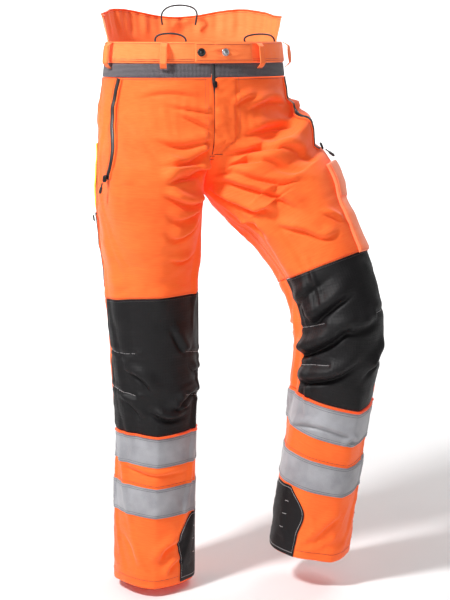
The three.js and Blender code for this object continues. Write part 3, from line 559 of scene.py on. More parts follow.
def shell_mesh(name, outer, inner, size, material, closed=False, s=None, t=None):
    """A closed thin solid between two grids of points, (rows, cols, 3), metres."""
    rows, cols = outer.shape[:2]
    if closed:
        outer, inner = outer[:, :-1], inner[:, :-1]
    width = outer.shape[1]
    verts = np.concatenate([outer.reshape(-1, 3), inner.reshape(-1, 3)])
    half = rows * width
    j, i = np.meshgrid(np.arange(rows - 1), np.arange(cols - 1), indexing="ij")
    k = (i + 1) % width
    top = np.stack([j * width + i, j * width + k, (j + 1) * width + k, (j + 1) * width + i], -1).reshape(-1,
                                                                                                         4)
    uu = (np.linspace(0, 1, cols) if s is None else s) * size[0]
    vv = (np.linspace(0, 1, rows) if t is None else t) * size[1]
    uv = corner_uv(uu, vv, rows - 1, cols - 1)
    walls = []
    wall_uv = []

    def wall(i0, j0, i1, j1):
        """The strip that closes the shell along one border."""
        p, q = j0 * width + i0 % width, j1 * width + i1 % width
        uv_p, uv_q = np.stack([uu[i0], vv[j0]], -1), np.stack([uu[i1], vv[j1]], -1)
        walls.append(np.stack([q, p, p + half, q + half], -1))
        wall_uv.append(np.stack([uv_q, uv_p, uv_p, uv_q], 1))

    i, j = np.arange(cols - 1), np.arange(rows - 1)
    wall(i, 0 * i, i + 1, 0 * i)
    wall(i + 1, 0 * i + rows - 1, i, 0 * i + rows - 1)
    if not closed:
        wall(0 * j, j + 1, 0 * j, j)
        wall(0 * j + cols - 1, j, 0 * j + cols - 1, j + 1)
    faces = np.concatenate([top, top[:, ::-1] + half] + walls)
    uvs = np.concatenate([uv, uv[:, ::-1]] + wall_uv)
    # the outer grid faces away from the inner one
    middle = top[len(top) // 2]
    quad = verts[middle]
    facing = np.cross(quad[1] - quad[0], quad[2] - quad[0]) @ (verts[middle[0]] - verts[middle[0] + half])
    if facing < 0:
        faces, uvs = faces[:, ::-1], uvs[:, ::-1]
    return add_mesh(name, verts, [faces], material, uvs)


def flat_size(points):
    """The cut size of a piece: its median width and length over the bare surface, in metres."""
    wide = np.linalg.norm(np.diff(points, axis=1), axis=2).sum(1)
    long_ = np.linalg.norm(np.diff(points, axis=0), axis=2).sum(0)
    across, down = points[:-1, 1:] - points[:-1, :-1], points[1:, :-1] - points[:-1, :-1]
    area = np.linalg.norm(np.cross(across, down), axis=2).sum()
    width = float(np.median(wide))
    return round(width, 3), round(float(max(area / width, 0.5 * np.median(long_))), 3)


def cloth(name, side, at, size, outer, inner, material, cell=3.0, closed=False, roll=1.0, extra=None):
    """A piece of cloth. at(s, t) gives its places (u, v); size is its width and length in mm."""
    s = spaced(size[0], cell, roll=not closed)
    t = spaced(size[1], cell)
    ss, tt = np.meshgrid(s, t)
    u, v = at(ss, tt)
    edge_t = np.minimum(tt, 1 - tt) * size[1]
    edge = edge_t if closed else np.minimum(np.minimum(ss, 1 - ss) * size[0], edge_t)
    fall = (1 - smooth(edge / 3.2)) * roll
    more = extra(u, v, ss, tt) if extra is not None else 0
    thick = outer - inner

    def place(lift):
        return skin(side, u, v, lift) if side else waist(u, v, lift)

    out_points = place(outer - 0.42 * thick * fall + more)
    in_points = place(inner + 0.3 * thick * fall + more)
    flat_size(base(side, u, v) * 0.001 if side else out_points)
    return shell_mesh(name, out_points, in_points, (size[0] / 1000, size[1] / 1000), material, closed, s=s,
                      t=t)


def place_piece(obj, body, node=None, held=None):
    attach(obj, body)
    if node:
        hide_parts(node)
    if held:
        SHEETS.append((obj, held))
    return obj


def round_solid(name, rings, ends, material, uvs=None):
    """A solid from closed rings of points, shut by a fan to each end point. uvs: for the sides only."""
    rows, sides = rings.shape[:2]
    verts = np.vstack([rings.reshape(-1, 3), ends])
    quads = ring_quads(rows, sides)
    k = np.arange(sides)
    following, first_end, last = (k + 1) % sides, np.full(sides, rows * sides), (rows - 1) * sides
    caps = np.concatenate([np.stack([first_end, following, k], -1),
                           np.stack([first_end + 1, last + k, last + following], -1)])
    if uvs is None:
        flat = np.concatenate([verts[quads.ravel()][:, [0, 2]], verts[caps.ravel()][:, [0, 2]]])
    else:
        flat = np.concatenate([uvs.reshape(-1, 2), np.zeros((len(caps) * 3, 2))])
    obj = add_mesh(name, verts, [quads, caps], material, flat)
    bm = bmesh.new()
    bm.from_mesh(obj.data)
    bmesh.ops.recalc_face_normals(bm, faces=bm.faces)
    bm.to_mesh(obj.data)
    bm.free()
    return obj


def distances(points):
    """How far along the line each point is."""
    return np.concatenate([[0], np.cumsum(np.linalg.norm(np.diff(points, axis=0), axis=1))])


def tube(name, points, radius, material, sides=8):
    """A round cord through points, in metres."""
    p = np.asarray(points, float)
    tangent = unit(np.gradient(p, axis=0))
    first = np.cross(tangent, [0, 0, 1.0])
    weak = np.linalg.norm(first, axis=1) < 0.15
    first[weak] = np.cross(tangent[weak], [1.0, 0, 0])
    first = unit(first)
    for i in range(1, len(p)):
        keep = first[i - 1] - tangent[i] * (first[i - 1] @ tangent[i])
        first[i] = keep / max(np.linalg.norm(keep), 1e-9)
    second = np.cross(tangent, first)
    angle = np.linspace(0, 2 * np.pi, sides, endpoint=False)
    ring = first[:, None] * np.cos(angle)[None, :, None] + second[:, None] * np.sin(angle)[None, :, None]
    uv = corner_uv(np.arange(sides + 1) / sides * 0.01, distances(p), len(p) - 1, sides)
    return round_solid(name, p[:, None] + ring * radius, p[[0, -1]], material, uv)


def resample(points, step):
    p = np.asarray(points, float)
    length = distances(p)
    at = np.arange(0, length[-1], step)
    return np.stack([np.interp(at, length, p[:, k]) for k in range(p.shape[1])], -1)


# ---- Threads ----
# Rows of stitching and bartacks: pitch, stitch length and thread radius, in mm.
SEAM_ROW = (3.8, 2.6, 0.36)
TOP_ROW = (3.6, 2.4, 0.34)
TAPE_ROW = (3.4, 2.3, 0.34)
LOOP_ROW = (3.4, 2.3, 0.32)
KNEE_ROW = (3.4, 2.3, 0.3)
PATCH_ROW = (3.2, 2.2, 0.3)
DART_ROW = (2.2, 1.9, 0.3)
BARTACK = (1.0, 1.4, 0.5)
WIDE_BARTACK = (1.0, 1.5, 0.5)
# Along a stitch: place, thickness and height, as shares of its length and radius.
STITCH_PROFILE = [(-0.5, 0.25, -0.5), (-0.3, 0.85, 0.1), (0.0, 1.0, 0.45), (0.3, 0.85, 0.1),
                  (0.5, 0.25, -0.5)]
STITCH_SIDES = 6
STITCH_SINK = 0.1
STITCHES = {}


def stitches(body, colour, points, out, kind):
    """Threads along a line of metre points. They are gathered by body and colour."""
    pitch, length, radius = kind
    p = np.asarray(points, float)
    both = np.hstack([p, np.broadcast_to(out, p.shape)])
    rows = resample(both, pitch / 1000)
    if len(rows) < 3:
        return
    tangent = unit(np.gradient(rows[:, :3], axis=0))
    n = unit(rows[:, 3:])
    across = np.cross(tangent, n)
    angle = np.linspace(0, 2 * np.pi, STITCH_SIDES, endpoint=False)
    ring = across[:, None] * np.cos(angle)[None, :, None] + n[:, None] * np.sin(angle)[None, :, None]
    verts = []
    for x, r, h in STITCH_PROFILE:
        centre = rows[:, :3] + tangent * (x * length / 1000) + n * ((h - STITCH_SINK) * radius / 1000)
        verts.append(centre[:, None] + ring * (r * radius / 1000))
    STITCHES.setdefault((body, colour), []).append(np.stack(verts, 1))


def row(side, u, v, lift, body, colour, kind):
    """Stitching along places (u, v), which may be arrays or one number."""
    u, v = np.broadcast_arrays(np.asarray(u, float), np.asarray(v, float))
    stitches(body, colour, skin(side, u, v, lift), normal(side, u, v), kind)


def flush_stitches():
    """One mesh for each body and colour. The knees' threads come first, get no end caps and have their
    transform baked in.
    """
    for (body, colour), groups in sorted(STITCHES.items(),
                                         key=lambda item: not item[0][0].startswith("knee_")):
        v = np.concatenate(groups)
        count, rings, sides = v.shape[:3]
        start = (np.arange(count) * rings * sides)[:, None, None]
        faces = [(ring_quads(rings, sides)[None, :, [0, 3, 2, 1]] + start).reshape(-1, 4)]
        knee = body.startswith("knee_")
        if not knee:
            ends = np.arange(sides)[None]
            caps = np.concatenate([ends + start[:, 0], ends[:, ::-1] + start[:, 0] + (rings - 1) * sides])
            faces.append(np.concatenate([caps[:, [0, 1, 2, 3]], caps[:, [0, 3, 4, 5]]]))
        obj = add_mesh(f"stitches_{colour}_{body}", v.reshape(-1, 3), faces, THREADS[colour])
        if knee:
            blend_knee(obj, body.removeprefix("knee_"))
        else:
            place_piece(obj, body)


# ---- Materials ----
def linear(colour):
    """Linear RGBA for a colour in 0 to 255. A colour of four values is linear already."""
    if len(colour) == 4:
        return colour
    return tuple(((x / 255 + 0.055) / 1.055) ** 2.4 if x > 10 else x / 255 / 12.92 for x in colour) + (1.0,)


class Nodes:
    """A short way to build a node material."""

    def __init__(self, name, roughness=0.8, sheen=0.0, metallic=0.0, coat=0.0, specular=0.5):
        self.mat = bpy.data.materials.new(name)
        self.mat.use_nodes = True
        self.tree = self.mat.node_tree
        self.shader = next(n for n in self.tree.nodes if n.type == "BSDF_PRINCIPLED")
        for key, value in (("Roughness", roughness), ("Metallic", metallic), ("Sheen Weight", sheen),
                           ("Sheen Roughness", 0.45), ("Coat Weight", coat),
                           ("Specular IOR Level", specular)):
            self.shader.inputs[key].default_value = value
        self.uv = self.tree.nodes.new("ShaderNodeUVMap").outputs[0]
        self.place = self.tree.nodes.new("ShaderNodeTexCoord").outputs["Object"]
        split = self.tree.nodes.new("ShaderNodeSeparateXYZ")
        self.link(self.uv, split.inputs[0])
        self.across, self.along = split.outputs[0], split.outputs[1]

    def link(self, a, b):
        self.tree.links.new(a, b)

    def math(self, op, *values):
        node = self.tree.nodes.new("ShaderNodeMath")
        node.operation = op
        for socket, value in zip(node.inputs, values):
            if isinstance(value, (int, float)):
                socket.default_value = value
            else:
                self.link(value, socket)
        return node.outputs[0]

    def total(self, *parts):
        """The sum of (value, factor) pairs."""
        out = None
        for value, factor in parts:
            scaled = self.math("MULTIPLY", value, factor)
            out = scaled if out is None else self.math("ADD", out, scaled)
        return out

    def ripple(self, source, period):
        """A sine of that period, in metres."""
        return self.math("SINE", self.math("MULTIPLY", source, 2 * math.pi / period))

    def weave(self, period):
        """Warp and weft threads that cross."""
        return self.math("MULTIPLY", self.ripple(self.across, period), self.ripple(self.along, period))

    def diagonals(self, op, period):
        """Two slanted ripples, joined by op."""
        sums = [self.math(way, self.across, self.along) for way in ("ADD", "SUBTRACT")]
        return self.math(op, self.ripple(sums[0], period), self.ripple(sums[1], period))

    def ramp(self, source, low, high, lo=0.3, hi=0.7):
        node = self.tree.nodes.new("ShaderNodeValToRGB")
        for element, position, colour in zip(node.color_ramp.elements, (lo, hi), (low, high)):
            element.position = position
            element.color = linear(colour)
        self.link(source, node.inputs[0])
        return node.outputs[0]

    def texture(self, kind, scale, source):
        node = self.tree.nodes.new(kind)
        node.inputs["Scale"].default_value = scale
        self.link(source, node.inputs["Vector"])
        return node

    def noise(self, scale, detail=3, stretch=(1, 1, 1), uv=False):
        mapping = self.tree.nodes.new("ShaderNodeMapping")
        mapping.inputs["Scale"].default_value = stretch
        self.link(self.uv if uv else self.place, mapping.inputs[0])
        node = self.texture("ShaderNodeTexNoise", scale, mapping.outputs[0])
        node.inputs["Detail"].default_value = detail
        return node.outputs[0]

    def finish(self, colour, height=None, strength=0.3, distance=0.0005, rough=None):
        self.link(colour, self.shader.inputs["Base Color"])
        if height is not None:
            bump = self.tree.nodes.new("ShaderNodeBump")
            bump.inputs["Strength"].default_value = strength
            bump.inputs["Distance"].default_value = distance
            self.link(height, bump.inputs["Height"])
            self.link(bump.outputs[0], self.shader.inputs["Normal"])
        if rough is not None:
            self.link(rough, self.shader.inputs["Roughness"])
        return self.mat


# Painted glow: a constant red emission on the orange cloth, painted light that reddens its shade in place of
# the dye's fluorescence, which would need light falling on it.
PAINTED_GLOW_COLOUR, PAINTED_GLOW_STRENGTH = (255, 44, 10), 0.22


def woven(name, low, high, roughness, sheen, thread=0.0011, rib=None, strength=0.35, specular=0.4,
          painted_glow=False):
    """Woven cloth: crossing threads, slubs along the weft and cloudy colour. Painted glow: a constant red
    emission, painted light that keeps the shaded cloth red, standing in for the dye's real fluorescence.
    """
    m = Nodes(name, roughness=roughness, sheen=sheen, specular=specular)
    if painted_glow:
        m.shader.inputs["Emission Color"].default_value = linear(PAINTED_GLOW_COLOUR)
        m.shader.inputs["Emission Strength"].default_value = PAINTED_GLOW_STRENGTH
    slub = m.noise(420, 2, (0.12, 1, 1), uv=True)
    parts = [(m.weave(thread), 0.5), (slub, 0.6), (m.noise(1400, 2), 0.5)]
    if rib:
        for axis in (m.across, m.along):
            turned = m.math("MULTIPLY", axis, math.pi / rib)
            parts.append((m.math("POWER", m.math("ABSOLUTE", m.math("COSINE", turned)), 14), 0.9))
    colour = m.ramp(m.total((slub, 0.45), (m.noise(9, 3), 0.55)), low, high, 0.32, 0.68)
    return m.finish(colour, m.total(*parts), strength, 0.0004)


# The orange cloths below carry the painted red glow.
ORANGE = woven("orange_cloth", (238, 100, 30), (250, 120, 44), 0.75, 0.2, painted_glow=True)
ORANGE_THICK = woven("orange_band_cloth", (250, 126, 58), (255, 146, 78), 0.74, 0.25, thread=0.0014,
                     painted_glow=True)
ORANGE_LIGHT = woven("orange_pocket_cloth", (250, 138, 84), (255, 158, 106), 0.6, 0.35, painted_glow=True)
PIPING = woven("orange_piping", (246, 84, 20), (252, 100, 30), 0.6, 0.2, thread=0.0008, painted_glow=True)
BLACK = woven("black_ripstop", (9, 8, 9), (17, 14, 17), 0.5, 0.02, thread=0.0015, rib=0.0055, strength=0.4,
              specular=0.3)
PATCH = woven("black_patch_cloth", (10, 9, 10), (19, 16, 19), 0.55, 0.02, thread=0.0018, strength=0.5,
              specular=0.3)
LINING = woven("grey_lining", (120, 118, 122), (150, 148, 150), 0.85, 0.1, thread=0.0009)
FIBRE = woven("pad_cover", (205, 200, 188), (228, 224, 214), 0.9, 0.2, thread=0.0016)
YELLOW = woven("yellow_cloth", (196, 232, 40), (222, 246, 92), 0.7, 0.2)


def tape_material():
    m = Nodes("reflective_tape", roughness=0.42, sheen=0.15, specular=0.6)
    beads = m.texture("ShaderNodeTexVoronoi", 1500, m.uv).outputs[0]
    height = m.total((beads, 0.6), (m.weave(0.0012), 0.4), (m.noise(60, 2), 1.0))
    tone = m.total((m.noise(26, 3), 0.8), (beads, 0.2))
    return m.finish(m.ramp(tone, (140, 140, 145), (170, 170, 175)), height, 0.22, 0.0004)


def mesh_material():
    """Coarse knitted stretch band: light yarns with dark holes in staggered rows."""
    m = Nodes("stretch_mesh", roughness=0.85, sheen=0.1)
    tone = m.total((m.diagonals("MULTIPLY", 0.0046), 0.6), (m.noise(900, 2), 0.7))
    return m.finish(m.ramp(tone, (30, 27, 30), (138, 132, 138), 0.1, 0.8), tone, 0.8, 0.0007)


def plain(name, low, high, roughness, metallic=0.0, scale=300, strength=0.15, coat=0.0):
    m = Nodes(name, roughness=roughness, metallic=metallic, coat=coat)
    grain = m.noise(scale, 3)
    rough = m.math("MULTIPLY_ADD", grain, 0.25, roughness - 0.12)
    return m.finish(m.ramp(grain, low, high), grain, strength, 0.0002, rough)


def thread_material(name, low, high):
    m = Nodes(name, roughness=0.55, sheen=0.4)
    twist = m.noise(2600, 2)
    return m.finish(m.ramp(twist, low, high, 0.35, 0.65), twist, 0.5, 0.0002)


def cord_material():
    m = Nodes("brace_cord", roughness=0.6, sheen=0.3)
    braid = m.diagonals("MAXIMUM", 0.0025)
    tone = m.total((braid, 0.4), (m.noise(700, 2), 1.0))
    return m.finish(m.ramp(tone, (18, 17, 19), (52, 50, 54), 0.2, 1.0), braid, 0.5, 0.0003)


TAPE = tape_material()
MESH = mesh_material()
ZIP = plain("zip_tape", (22, 20, 23), (38, 35, 39), 0.42, coat=0.2)
SLIDER = plain("slider_metal", (26, 26, 28), (42, 42, 45), 0.38, metallic=0.6)
GRIP = plain("moulded_grip", (28, 28, 31), (48, 48, 52), 0.5)
SNAP = plain("snap_black", (12, 12, 14), (24, 24, 27), 0.25, coat=0.5)
METAL = plain("button_metal", (196, 196, 200), (226, 226, 230), 0.3, metallic=1.0, scale=500, strength=0.08)
CORD = cord_material()
THREAD_COLOURS = {
    "orange": ((196, 60, 22), (226, 84, 36)),
    "dark": ((120, 38, 30), (158, 58, 44)),
    "black": ((26, 24, 28), (50, 46, 50)),
    "grey": ((84, 80, 86), (112, 108, 114)),
    "white": ((176, 170, 172), (214, 208, 208)),
}
THREADS = {name: thread_material("thread_" + name, *shades) for name, shades in THREAD_COLOURS.items()}

# ---- Brace loops: the free cords ----
LOOP_ROUTE = [[-0.9, -0.55], [-0.94, -0.3], [-0.97, 0], [-1, 0.25], [-0.97, 0.5], [-0.86, 0.72],
              [-0.68, 0.87],
              [-0.45, 0.96], [-0.2, 1], [0.05, 1], [0.3, 0.96], [0.52, 0.88], [0.72, 0.74], [0.88, 0.53],
              [0.96, 0.27], [0.97, 0], [0.94, -0.3], [0.9, -0.55]]
BAND_INSIDE = 2 - 4
INSIDE_BAND = BAND_INSIDE - 1.6 - 1.7
KIDNEY_THICK = 1.8
WAIST_HALF_GIRTH = math.pi * 141


def brace_loop(name, a, half_spread, height, start, lift):
    share = half_spread / WAIST_HALF_GIRTH
    coarse = [waist(a + x * share, -start - y * height, lift) for x, y in LOOP_ROUTE]
    points = spline(coarse, 4)
    obj = tube("cord_" + name, points, 0.0017, CORD, sides=12)
    place_piece(obj, "trousers", name)


def kidney_top(share):
    return 52 - 7 * np.cos(4 * np.pi * share)


brace_loop("brace_loop_front_right", -0.155, 26, 15, 0, INSIDE_BAND)
brace_loop("brace_loop_front_left", 0.225, 44, 14, 0, INSIDE_BAND)
brace_loop("brace_loop_back", 1.0, 33, 24, kidney_top(0.5), INSIDE_BAND - KIDNEY_THICK - 1.6)

# ---- Floor and light ----
FLOOR_PROFILE = [(-6, 0), (-2, 0), (0, 0), (3, 0), (4.5, 0), (5.2, 0.08), (5.9, 0.4), (6.4, 0.95),
                 (6.6, 1.7), (6.6, 6)]
FLOOR_GAP = 0.012
# Each light: place, target, size and power.
LIGHTS = {
    "key": ((-1.8, -0.72, 1.65), (0.0, 0, -0.4), (0.35, 0.45), 96),
    "fill": ((-0.6, -3.0, 0.4), (0.05, 0, -0.5), (1.2, 1.2), 13),
    "back": ((2.0, 1.2, 1.4), (0.1, 0, -0.4), (1.6, 1.2), 34),
    "wall": ((0, 3.2, 2.8), (0, 6.4, 0.6), (6.0, 2.0), 420),
}


def make_stage():
    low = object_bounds()[0][2] - FLOOR_GAP
    xs = np.linspace(-9, 9, 13)
    verts = [(x, y, z + low) for y, z in FLOOR_PROFILE for x in xs]
    n = len(xs)
    quads = [(j * n + i, j * n + i + 1, (j + 1) * n + i + 1, (j + 1) * n + i)
             for j in range(len(FLOOR_PROFILE) - 1) for i in range(n - 1)]
    m = Nodes("studio_floor", roughness=0.9)
    mat = m.finish(m.ramp(m.noise(3, 2), (0.86, 0.86, 0.86, 1), (0.9, 0.9, 0.9, 1)))
    add_mesh("studio_floor", np.array(verts), [np.array(quads)], mat)
    world = bpy.data.worlds.new("studio")
    bpy.context.scene.world = world
    world.use_nodes = True
    background = next(n for n in world.node_tree.nodes if n.type == "BACKGROUND")
    background.inputs[0].default_value = (1, 1, 1, 1)
    background.inputs[1].default_value = 0.2
    for name, (place, target, size, power) in LIGHTS.items():
        data = bpy.data.lights.new(name, "AREA")
        data.shape = "RECTANGLE"
        data.size, data.size_y = size
        data.energy = power
        obj = bpy.data.objects.new(name, data)
        obj.location = place
        link_aimed(obj, Vector(target) - Vector(place))


make_stage()

# ---- The cloth panels ----
KNEE_TOP = {"right": 477, "left": 497}
KNEE_BOTTOM = 728
TAPE_TOP = {"upper": 733, "lower": 831}
TAPE_WIDTH = 57
FLY_BOTTOM = 214
KNEE_EDGES = (-0.005, 0.445)
SEAM = 0.3 / 520
FRONT_HALF_GIRTH = math.pi * 122


def dips(side, u, depth):
    """Lower edges dip in a point at the crease."""
    d = np.abs(np.mod(u - CREASE[side] + 0.5, 1.0) - 0.5)
    return depth * np.clip(1 - d / 0.3, 0, 1)


def knee_top(side, u):
    return KNEE_TOP[side] - 4 * np.sin(2 * np.pi * u) * (1 if side == "right" else -1.5)


def fly_edge(v):
    """Half width of the open fly in mm: open at the waist, shut lower down."""
    return mix(4.2, 0.35, smooth((v - 58) / 44))


def front_u(s, v, side):
    gap = fly_edge(v) if side == "right" else mix(0.9, 0.2, smooth((v - 62) / 44))
    edge = np.where(v <= FLY_BOTTOM, gap / FRONT_HALF_GIRTH, SEAM)
    return mix(np.where(v < RISE, edge, SEAM), 0.5 - SEAM, s)


def panel_at(side, front):
    """Places of a hip and thigh panel's cloth."""
    def at(s, t):
        v = mix(PANEL_TOP + 0.6, KNEE_TOP[side] - 0.3, t)
        u = front_u(s, v, side) if front else mix(0.5 + SEAM, 1 - np.where(v < RISE, 0.0006, SEAM), s)
        return u, v + (knee_top(side, u) - KNEE_TOP[side]) * smooth((t - 0.7) / 0.3)
    return at


for side in SIDES:
    for name in ("front_panel", "back_panel"):
        piece = cloth(f"cloth_{name}_{side}", side, panel_at(side, name == "front_panel"), (262, 415), 0,
                      -1.8, ORANGE)
        place_piece(piece, "trousers", f"{name}_{side}", "stretched")


# ---- Knees ----
DARTS = {
    "right": [((0.445, 570), (0.385, 577), (0.323, 577)), ((-0.004, 592), (0.06, 586), (0.122, 580)),
              ((0.445, 646), (0.385, 652), (0.325, 660)), ((-0.004, 674), (0.06, 668), (0.125, 661))],
    "left": [((-0.004, 607), (0.05, 604), (0.106, 600)), ((-0.004, 682), (0.06, 674), (0.125, 668)),
             ((0.445, 590), (0.385, 594), (0.325, 596)), ((0.445, 662), (0.385, 664), (0.325, 664))],
}


def dart_dip(side):
    """A dart pulls the cloth in along its line and puckers at its tip."""
    def extra(u, v, *shares):
        out = np.zeros_like(u)
        for points in DARTS[side]:
            uv = spline(points, 6) * [AROUND, 1]
            x, y = u * AROUND, v
            best = np.full(u.shape, 1e9)
            for a in uv:
                best = np.minimum(best, np.hypot(x - a[0], y - a[1]))
            out -= 2.0 * np.exp(-((best / 3.4) ** 2))
            out += 1.2 * np.exp(-(((best - 8) / 5) ** 2))
            tip = uv[-1]
            side_way = 1 if points[0][0] < points[-1][0] else -1
            dx, dy = (x - tip[0]) * side_way, y - tip[1]
            out += 2.0 * np.exp(-((dx - 9) / 9) ** 2 - (dy / 6) ** 2)
        return out
    return extra


def knee_line(side, v):
    """A point on the leg's middle line."""
    inseam, outseam = base(side, np.array([0.0, 0.5]), np.array([float(v), float(v)]))
    return tuple((inseam + outseam) * 0.0005)


def blend_knee(obj, side):
    knee_line(side, 540)
    knee_line(side, 675)
    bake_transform(obj)


def knee_at(side, a, b):
    def at(s, t):
        u = mix(a, b, s)
        low = KNEE_BOTTOM + dips(side, u, 12) - 0.6
        return u, mix(knee_top(side, u) + 0.3, low, t)
    return at


def knee_piece(obj, side, node):
    """A piece on the knee: its CAD part is hidden and its transform baked in."""
    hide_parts(f"{node}_{side}")
    blend_knee(obj, side)


for side in SIDES:
    inner, outer_edge = KNEE_EDGES
    panel = cloth(f"cloth_knee_panel_{side}", side, knee_at(side, inner + SEAM, outer_edge - SEAM),
                  (232, 246), 0.5, -1.6, BLACK, cell=2.6, extra=dart_dip(side))
    knee_piece(panel, side, "knee_panel")
    back = cloth(f"cloth_knee_back_{side}", side, knee_at(side, outer_edge + SEAM, 1 + inner - SEAM),
                 (282, 246), 0, -1.8, ORANGE)
    knee_piece(back, side, "knee_back")
    SHEETS += [(panel, "stretched"), (back, "stretched")]

# ---- Lower legs, tapes, piping and ankle patches ----


PATCH_TOP, PATCH_BACK = 894, -0.08


def ankle_front(v):
    return rows_at([[PATCH_TOP, 0.06], [932, 0.13], [985, 0.122], [OUTSEAM, 0.122]], v)[..., 0]


def ankle_back(v):
    return PATCH_BACK + 0.045 * smooth((916 - v) / 24)


def hem_v(side, u):
    wave = 2.0 * np.sin(2 * np.pi * (2 * u + 0.2)) + 1.0 * np.sin(2 * np.pi * 5 * u)
    return OUTSEAM + dips(side, u, 9 if side == "right" else 4) + wave * 0.5 - 1


for side in SIDES:
    body = f"shin_{side}"

    def lower_at(s, t, side=side):
        return s, mix(KNEE_BOTTOM + dips(side, s, 12) + 0.6, hem_v(side, s), t)

    leg = cloth(f"cloth_lower_leg_{side}", side, lower_at, (500, 298), 0, -1.8, ORANGE, closed=True)
    place_piece(leg, body, f"lower_leg_{side}", "hung")

    u = np.linspace(-0.005, 0.47, 130)
    v = KNEE_BOTTOM + dips(side, u, 12) + 2.4
    pipe = tube(f"piping_knee_{side}", skin(side, u, v, 1.0), 0.0023, PIPING, sides=10)
    place_piece(pipe, body)

    for level, top in TAPE_TOP.items():
        def tape_at(s, t, side=side, top=top):
            return s, top + dips(side, s, 11) + TAPE_WIDTH * t

        band = cloth(f"tape_{level}_{side}", side, tape_at, (500, TAPE_WIDTH), 1.5, 0.75, TAPE, cell=2.6,
                     closed=True, roll=0.6)
        place_piece(band, body, f"reflective_tape_{level}_{side}", "stretched")
        u = np.linspace(0, 1, 260)
        for offset in (2.2, 5.6, TAPE_WIDTH - 5.6, TAPE_WIDTH - 2.2):
            row(side, u, top + dips(side, u, 11) + offset, 1.6, body, "grey", TAPE_ROW)
        # where the band's ends meet, at the side seam
        v = np.linspace(top + 1, top + TAPE_WIDTH - 1, 24) + dips(side, KNEE_EDGES[1], 11)
        row(side, KNEE_EDGES[1], v, 1.7, body, "grey", TAPE_ROW)

    def patch_at(s, t, side=side):
        v = mix(PATCH_TOP, OUTSEAM - 1, t)
        u = mix(ankle_back(v), ankle_front(v), s)
        return u, v + dips(side, u, 3) * t

    patch = cloth(f"ankle_patch_cloth_{side}", side, patch_at, (100, 131), 1.9, 0.8, PATCH, cell=2.4)
    place_piece(patch, body, f"ankle_patch_{side}", "stretched")
    v = np.linspace(899, OUTSEAM - 5, 70)
    row(side, ankle_front(v) - 0.0075, v, 2.0, body, "white", PATCH_ROW)
    row(side, ankle_back(v) + 0.0075, v, 2.0, body, "white", PATCH_ROW)
    for v0 in (898.5, OUTSEAM - 7):
        u = np.linspace(-0.06, float(ankle_front(v0)) - 0.008, 30)
        row(side, u, v0, 2.0, body, "white", PATCH_ROW)
    at_u = 0.045 if side == "left" else 0.03
    for v0 in (925, 950, 976):
        row(side, np.linspace(at_u, at_u + 0.013, 6), v0, 2.05, body, "white", (1.1, 1.4, 0.5))


# ---- Waist ----


def pucker(u, v, ss, tt):
    """The band draws in a little between its rows of stitching."""
    wave = lattice(ss * 34, tt * 1.5, 21) * 0.35 + lattice(ss * 90, tt * 3, 5) * 0.18
    edge = np.minimum(tt, 1 - tt) * WAISTBAND_HEIGHT
    return wave + 0.5 * (smooth(edge / 8) - 1) * 0.8


for side in SIDES:
    band = cloth(f"cloth_waistband_{side}", side, lambda s, t: (s, WAISTBAND_HEIGHT * t),
                 (520, WAISTBAND_HEIGHT), 2.0, BAND_INSIDE, ORANGE_THICK, cell=2.6, roll=0.8, extra=pucker)
    place_piece(band, "trousers", f"waistband_{side}", "stretched")
    for v0, colour in ((3.5, "orange"), (WAISTBAND_HEIGHT - 3.5, "dark"), (WAISTBAND_HEIGHT - 7, "dark")):
        row(side, np.linspace(0.006, 0.995, 300), v0, 2.0, "trousers", colour, SEAM_ROW)

    def stretch_at(s, t, start=(4.4 if side == "right" else 0.9) / (math.pi * 119)):
        return mix(start, 1, s), WAISTBAND_HEIGHT + 0.6 + (STRETCH_BAND_HEIGHT - 1.2) * t

    stretch = cloth(f"cloth_stretch_band_{side}", side, stretch_at, (500, STRETCH_BAND_HEIGHT), 0.0, -1.8,
                    MESH, cell=2.6)
    place_piece(stretch, "trousers", f"stretch_band_{side}", "stretched")

KIDNEY_OUT = BAND_INSIDE - 0.8
KIDNEY_MIDDLE = KIDNEY_OUT - 0.9


def kidney_at(s, t):
    return mix(0.5, 1.5, s), mix(-kidney_top(s), 14.0, t)


def kidney_shape(u, v, ss, tt):
    lean = 16 * np.maximum(0, -v / 52)
    rise = smooth(-v / 30)
    pleats = (1.8 * np.sin(2 * np.pi * (ss * 9 + 0.1)) * rise
              + 0.8 * np.sin(2 * np.pi * (ss * 23 + 0.3)) * rise)
    return lean + pleats + lattice(ss * 30, tt * 4, 31) * 0.7 * rise


def kidney_rows(u, v, more, faces):
    """Stitching on the kidney panel's inside (-1), outside (1) or both."""
    out = np.array([waist_out(a, 0) for a in u])
    for face, lift in faces:
        stitches("trousers", "orange", waist(u, v, KIDNEY_MIDDLE + lift + more), out * face, SEAM_ROW)


kidney = cloth("cloth_kidney_panel", None, kidney_at, (520, 66), KIDNEY_OUT, KIDNEY_OUT - KIDNEY_THICK,
               ORANGE_THICK, cell=2.6, extra=kidney_shape)
place_piece(kidney, "trousers", "kidney_panel", "stretched")
s = np.linspace(0.004, 0.996, 260)
u = mix(0.5, 1.5, s)
v = -kidney_top(s) + 0.6
more = kidney_shape(u, v, s, (v + kidney_top(s)) / 66)
pipe = tube("piping_kidney", waist(u, v, KIDNEY_MIDDLE + more), 0.0021, PIPING, sides=10)
place_piece(pipe, "trousers")
v = -kidney_top(s) + 4.6
kidney_rows(u, v, kidney_shape(u, v, s, (v + kidney_top(s)) / 66), ((-1, -0.9), (1, 1.0)))
for share in (0.012, 0.035, 0.965, 0.988):
    v = np.linspace(-kidney_top(share) + 4, -3, 24)
    u = np.full(v.shape, mix(0.5, 1.5, share))
    kidney_rows(u, v, kidney_shape(u, v, np.full(v.shape, share), (v + 50) / 66), ((-1, -0.9),))

# ---- Fly ----


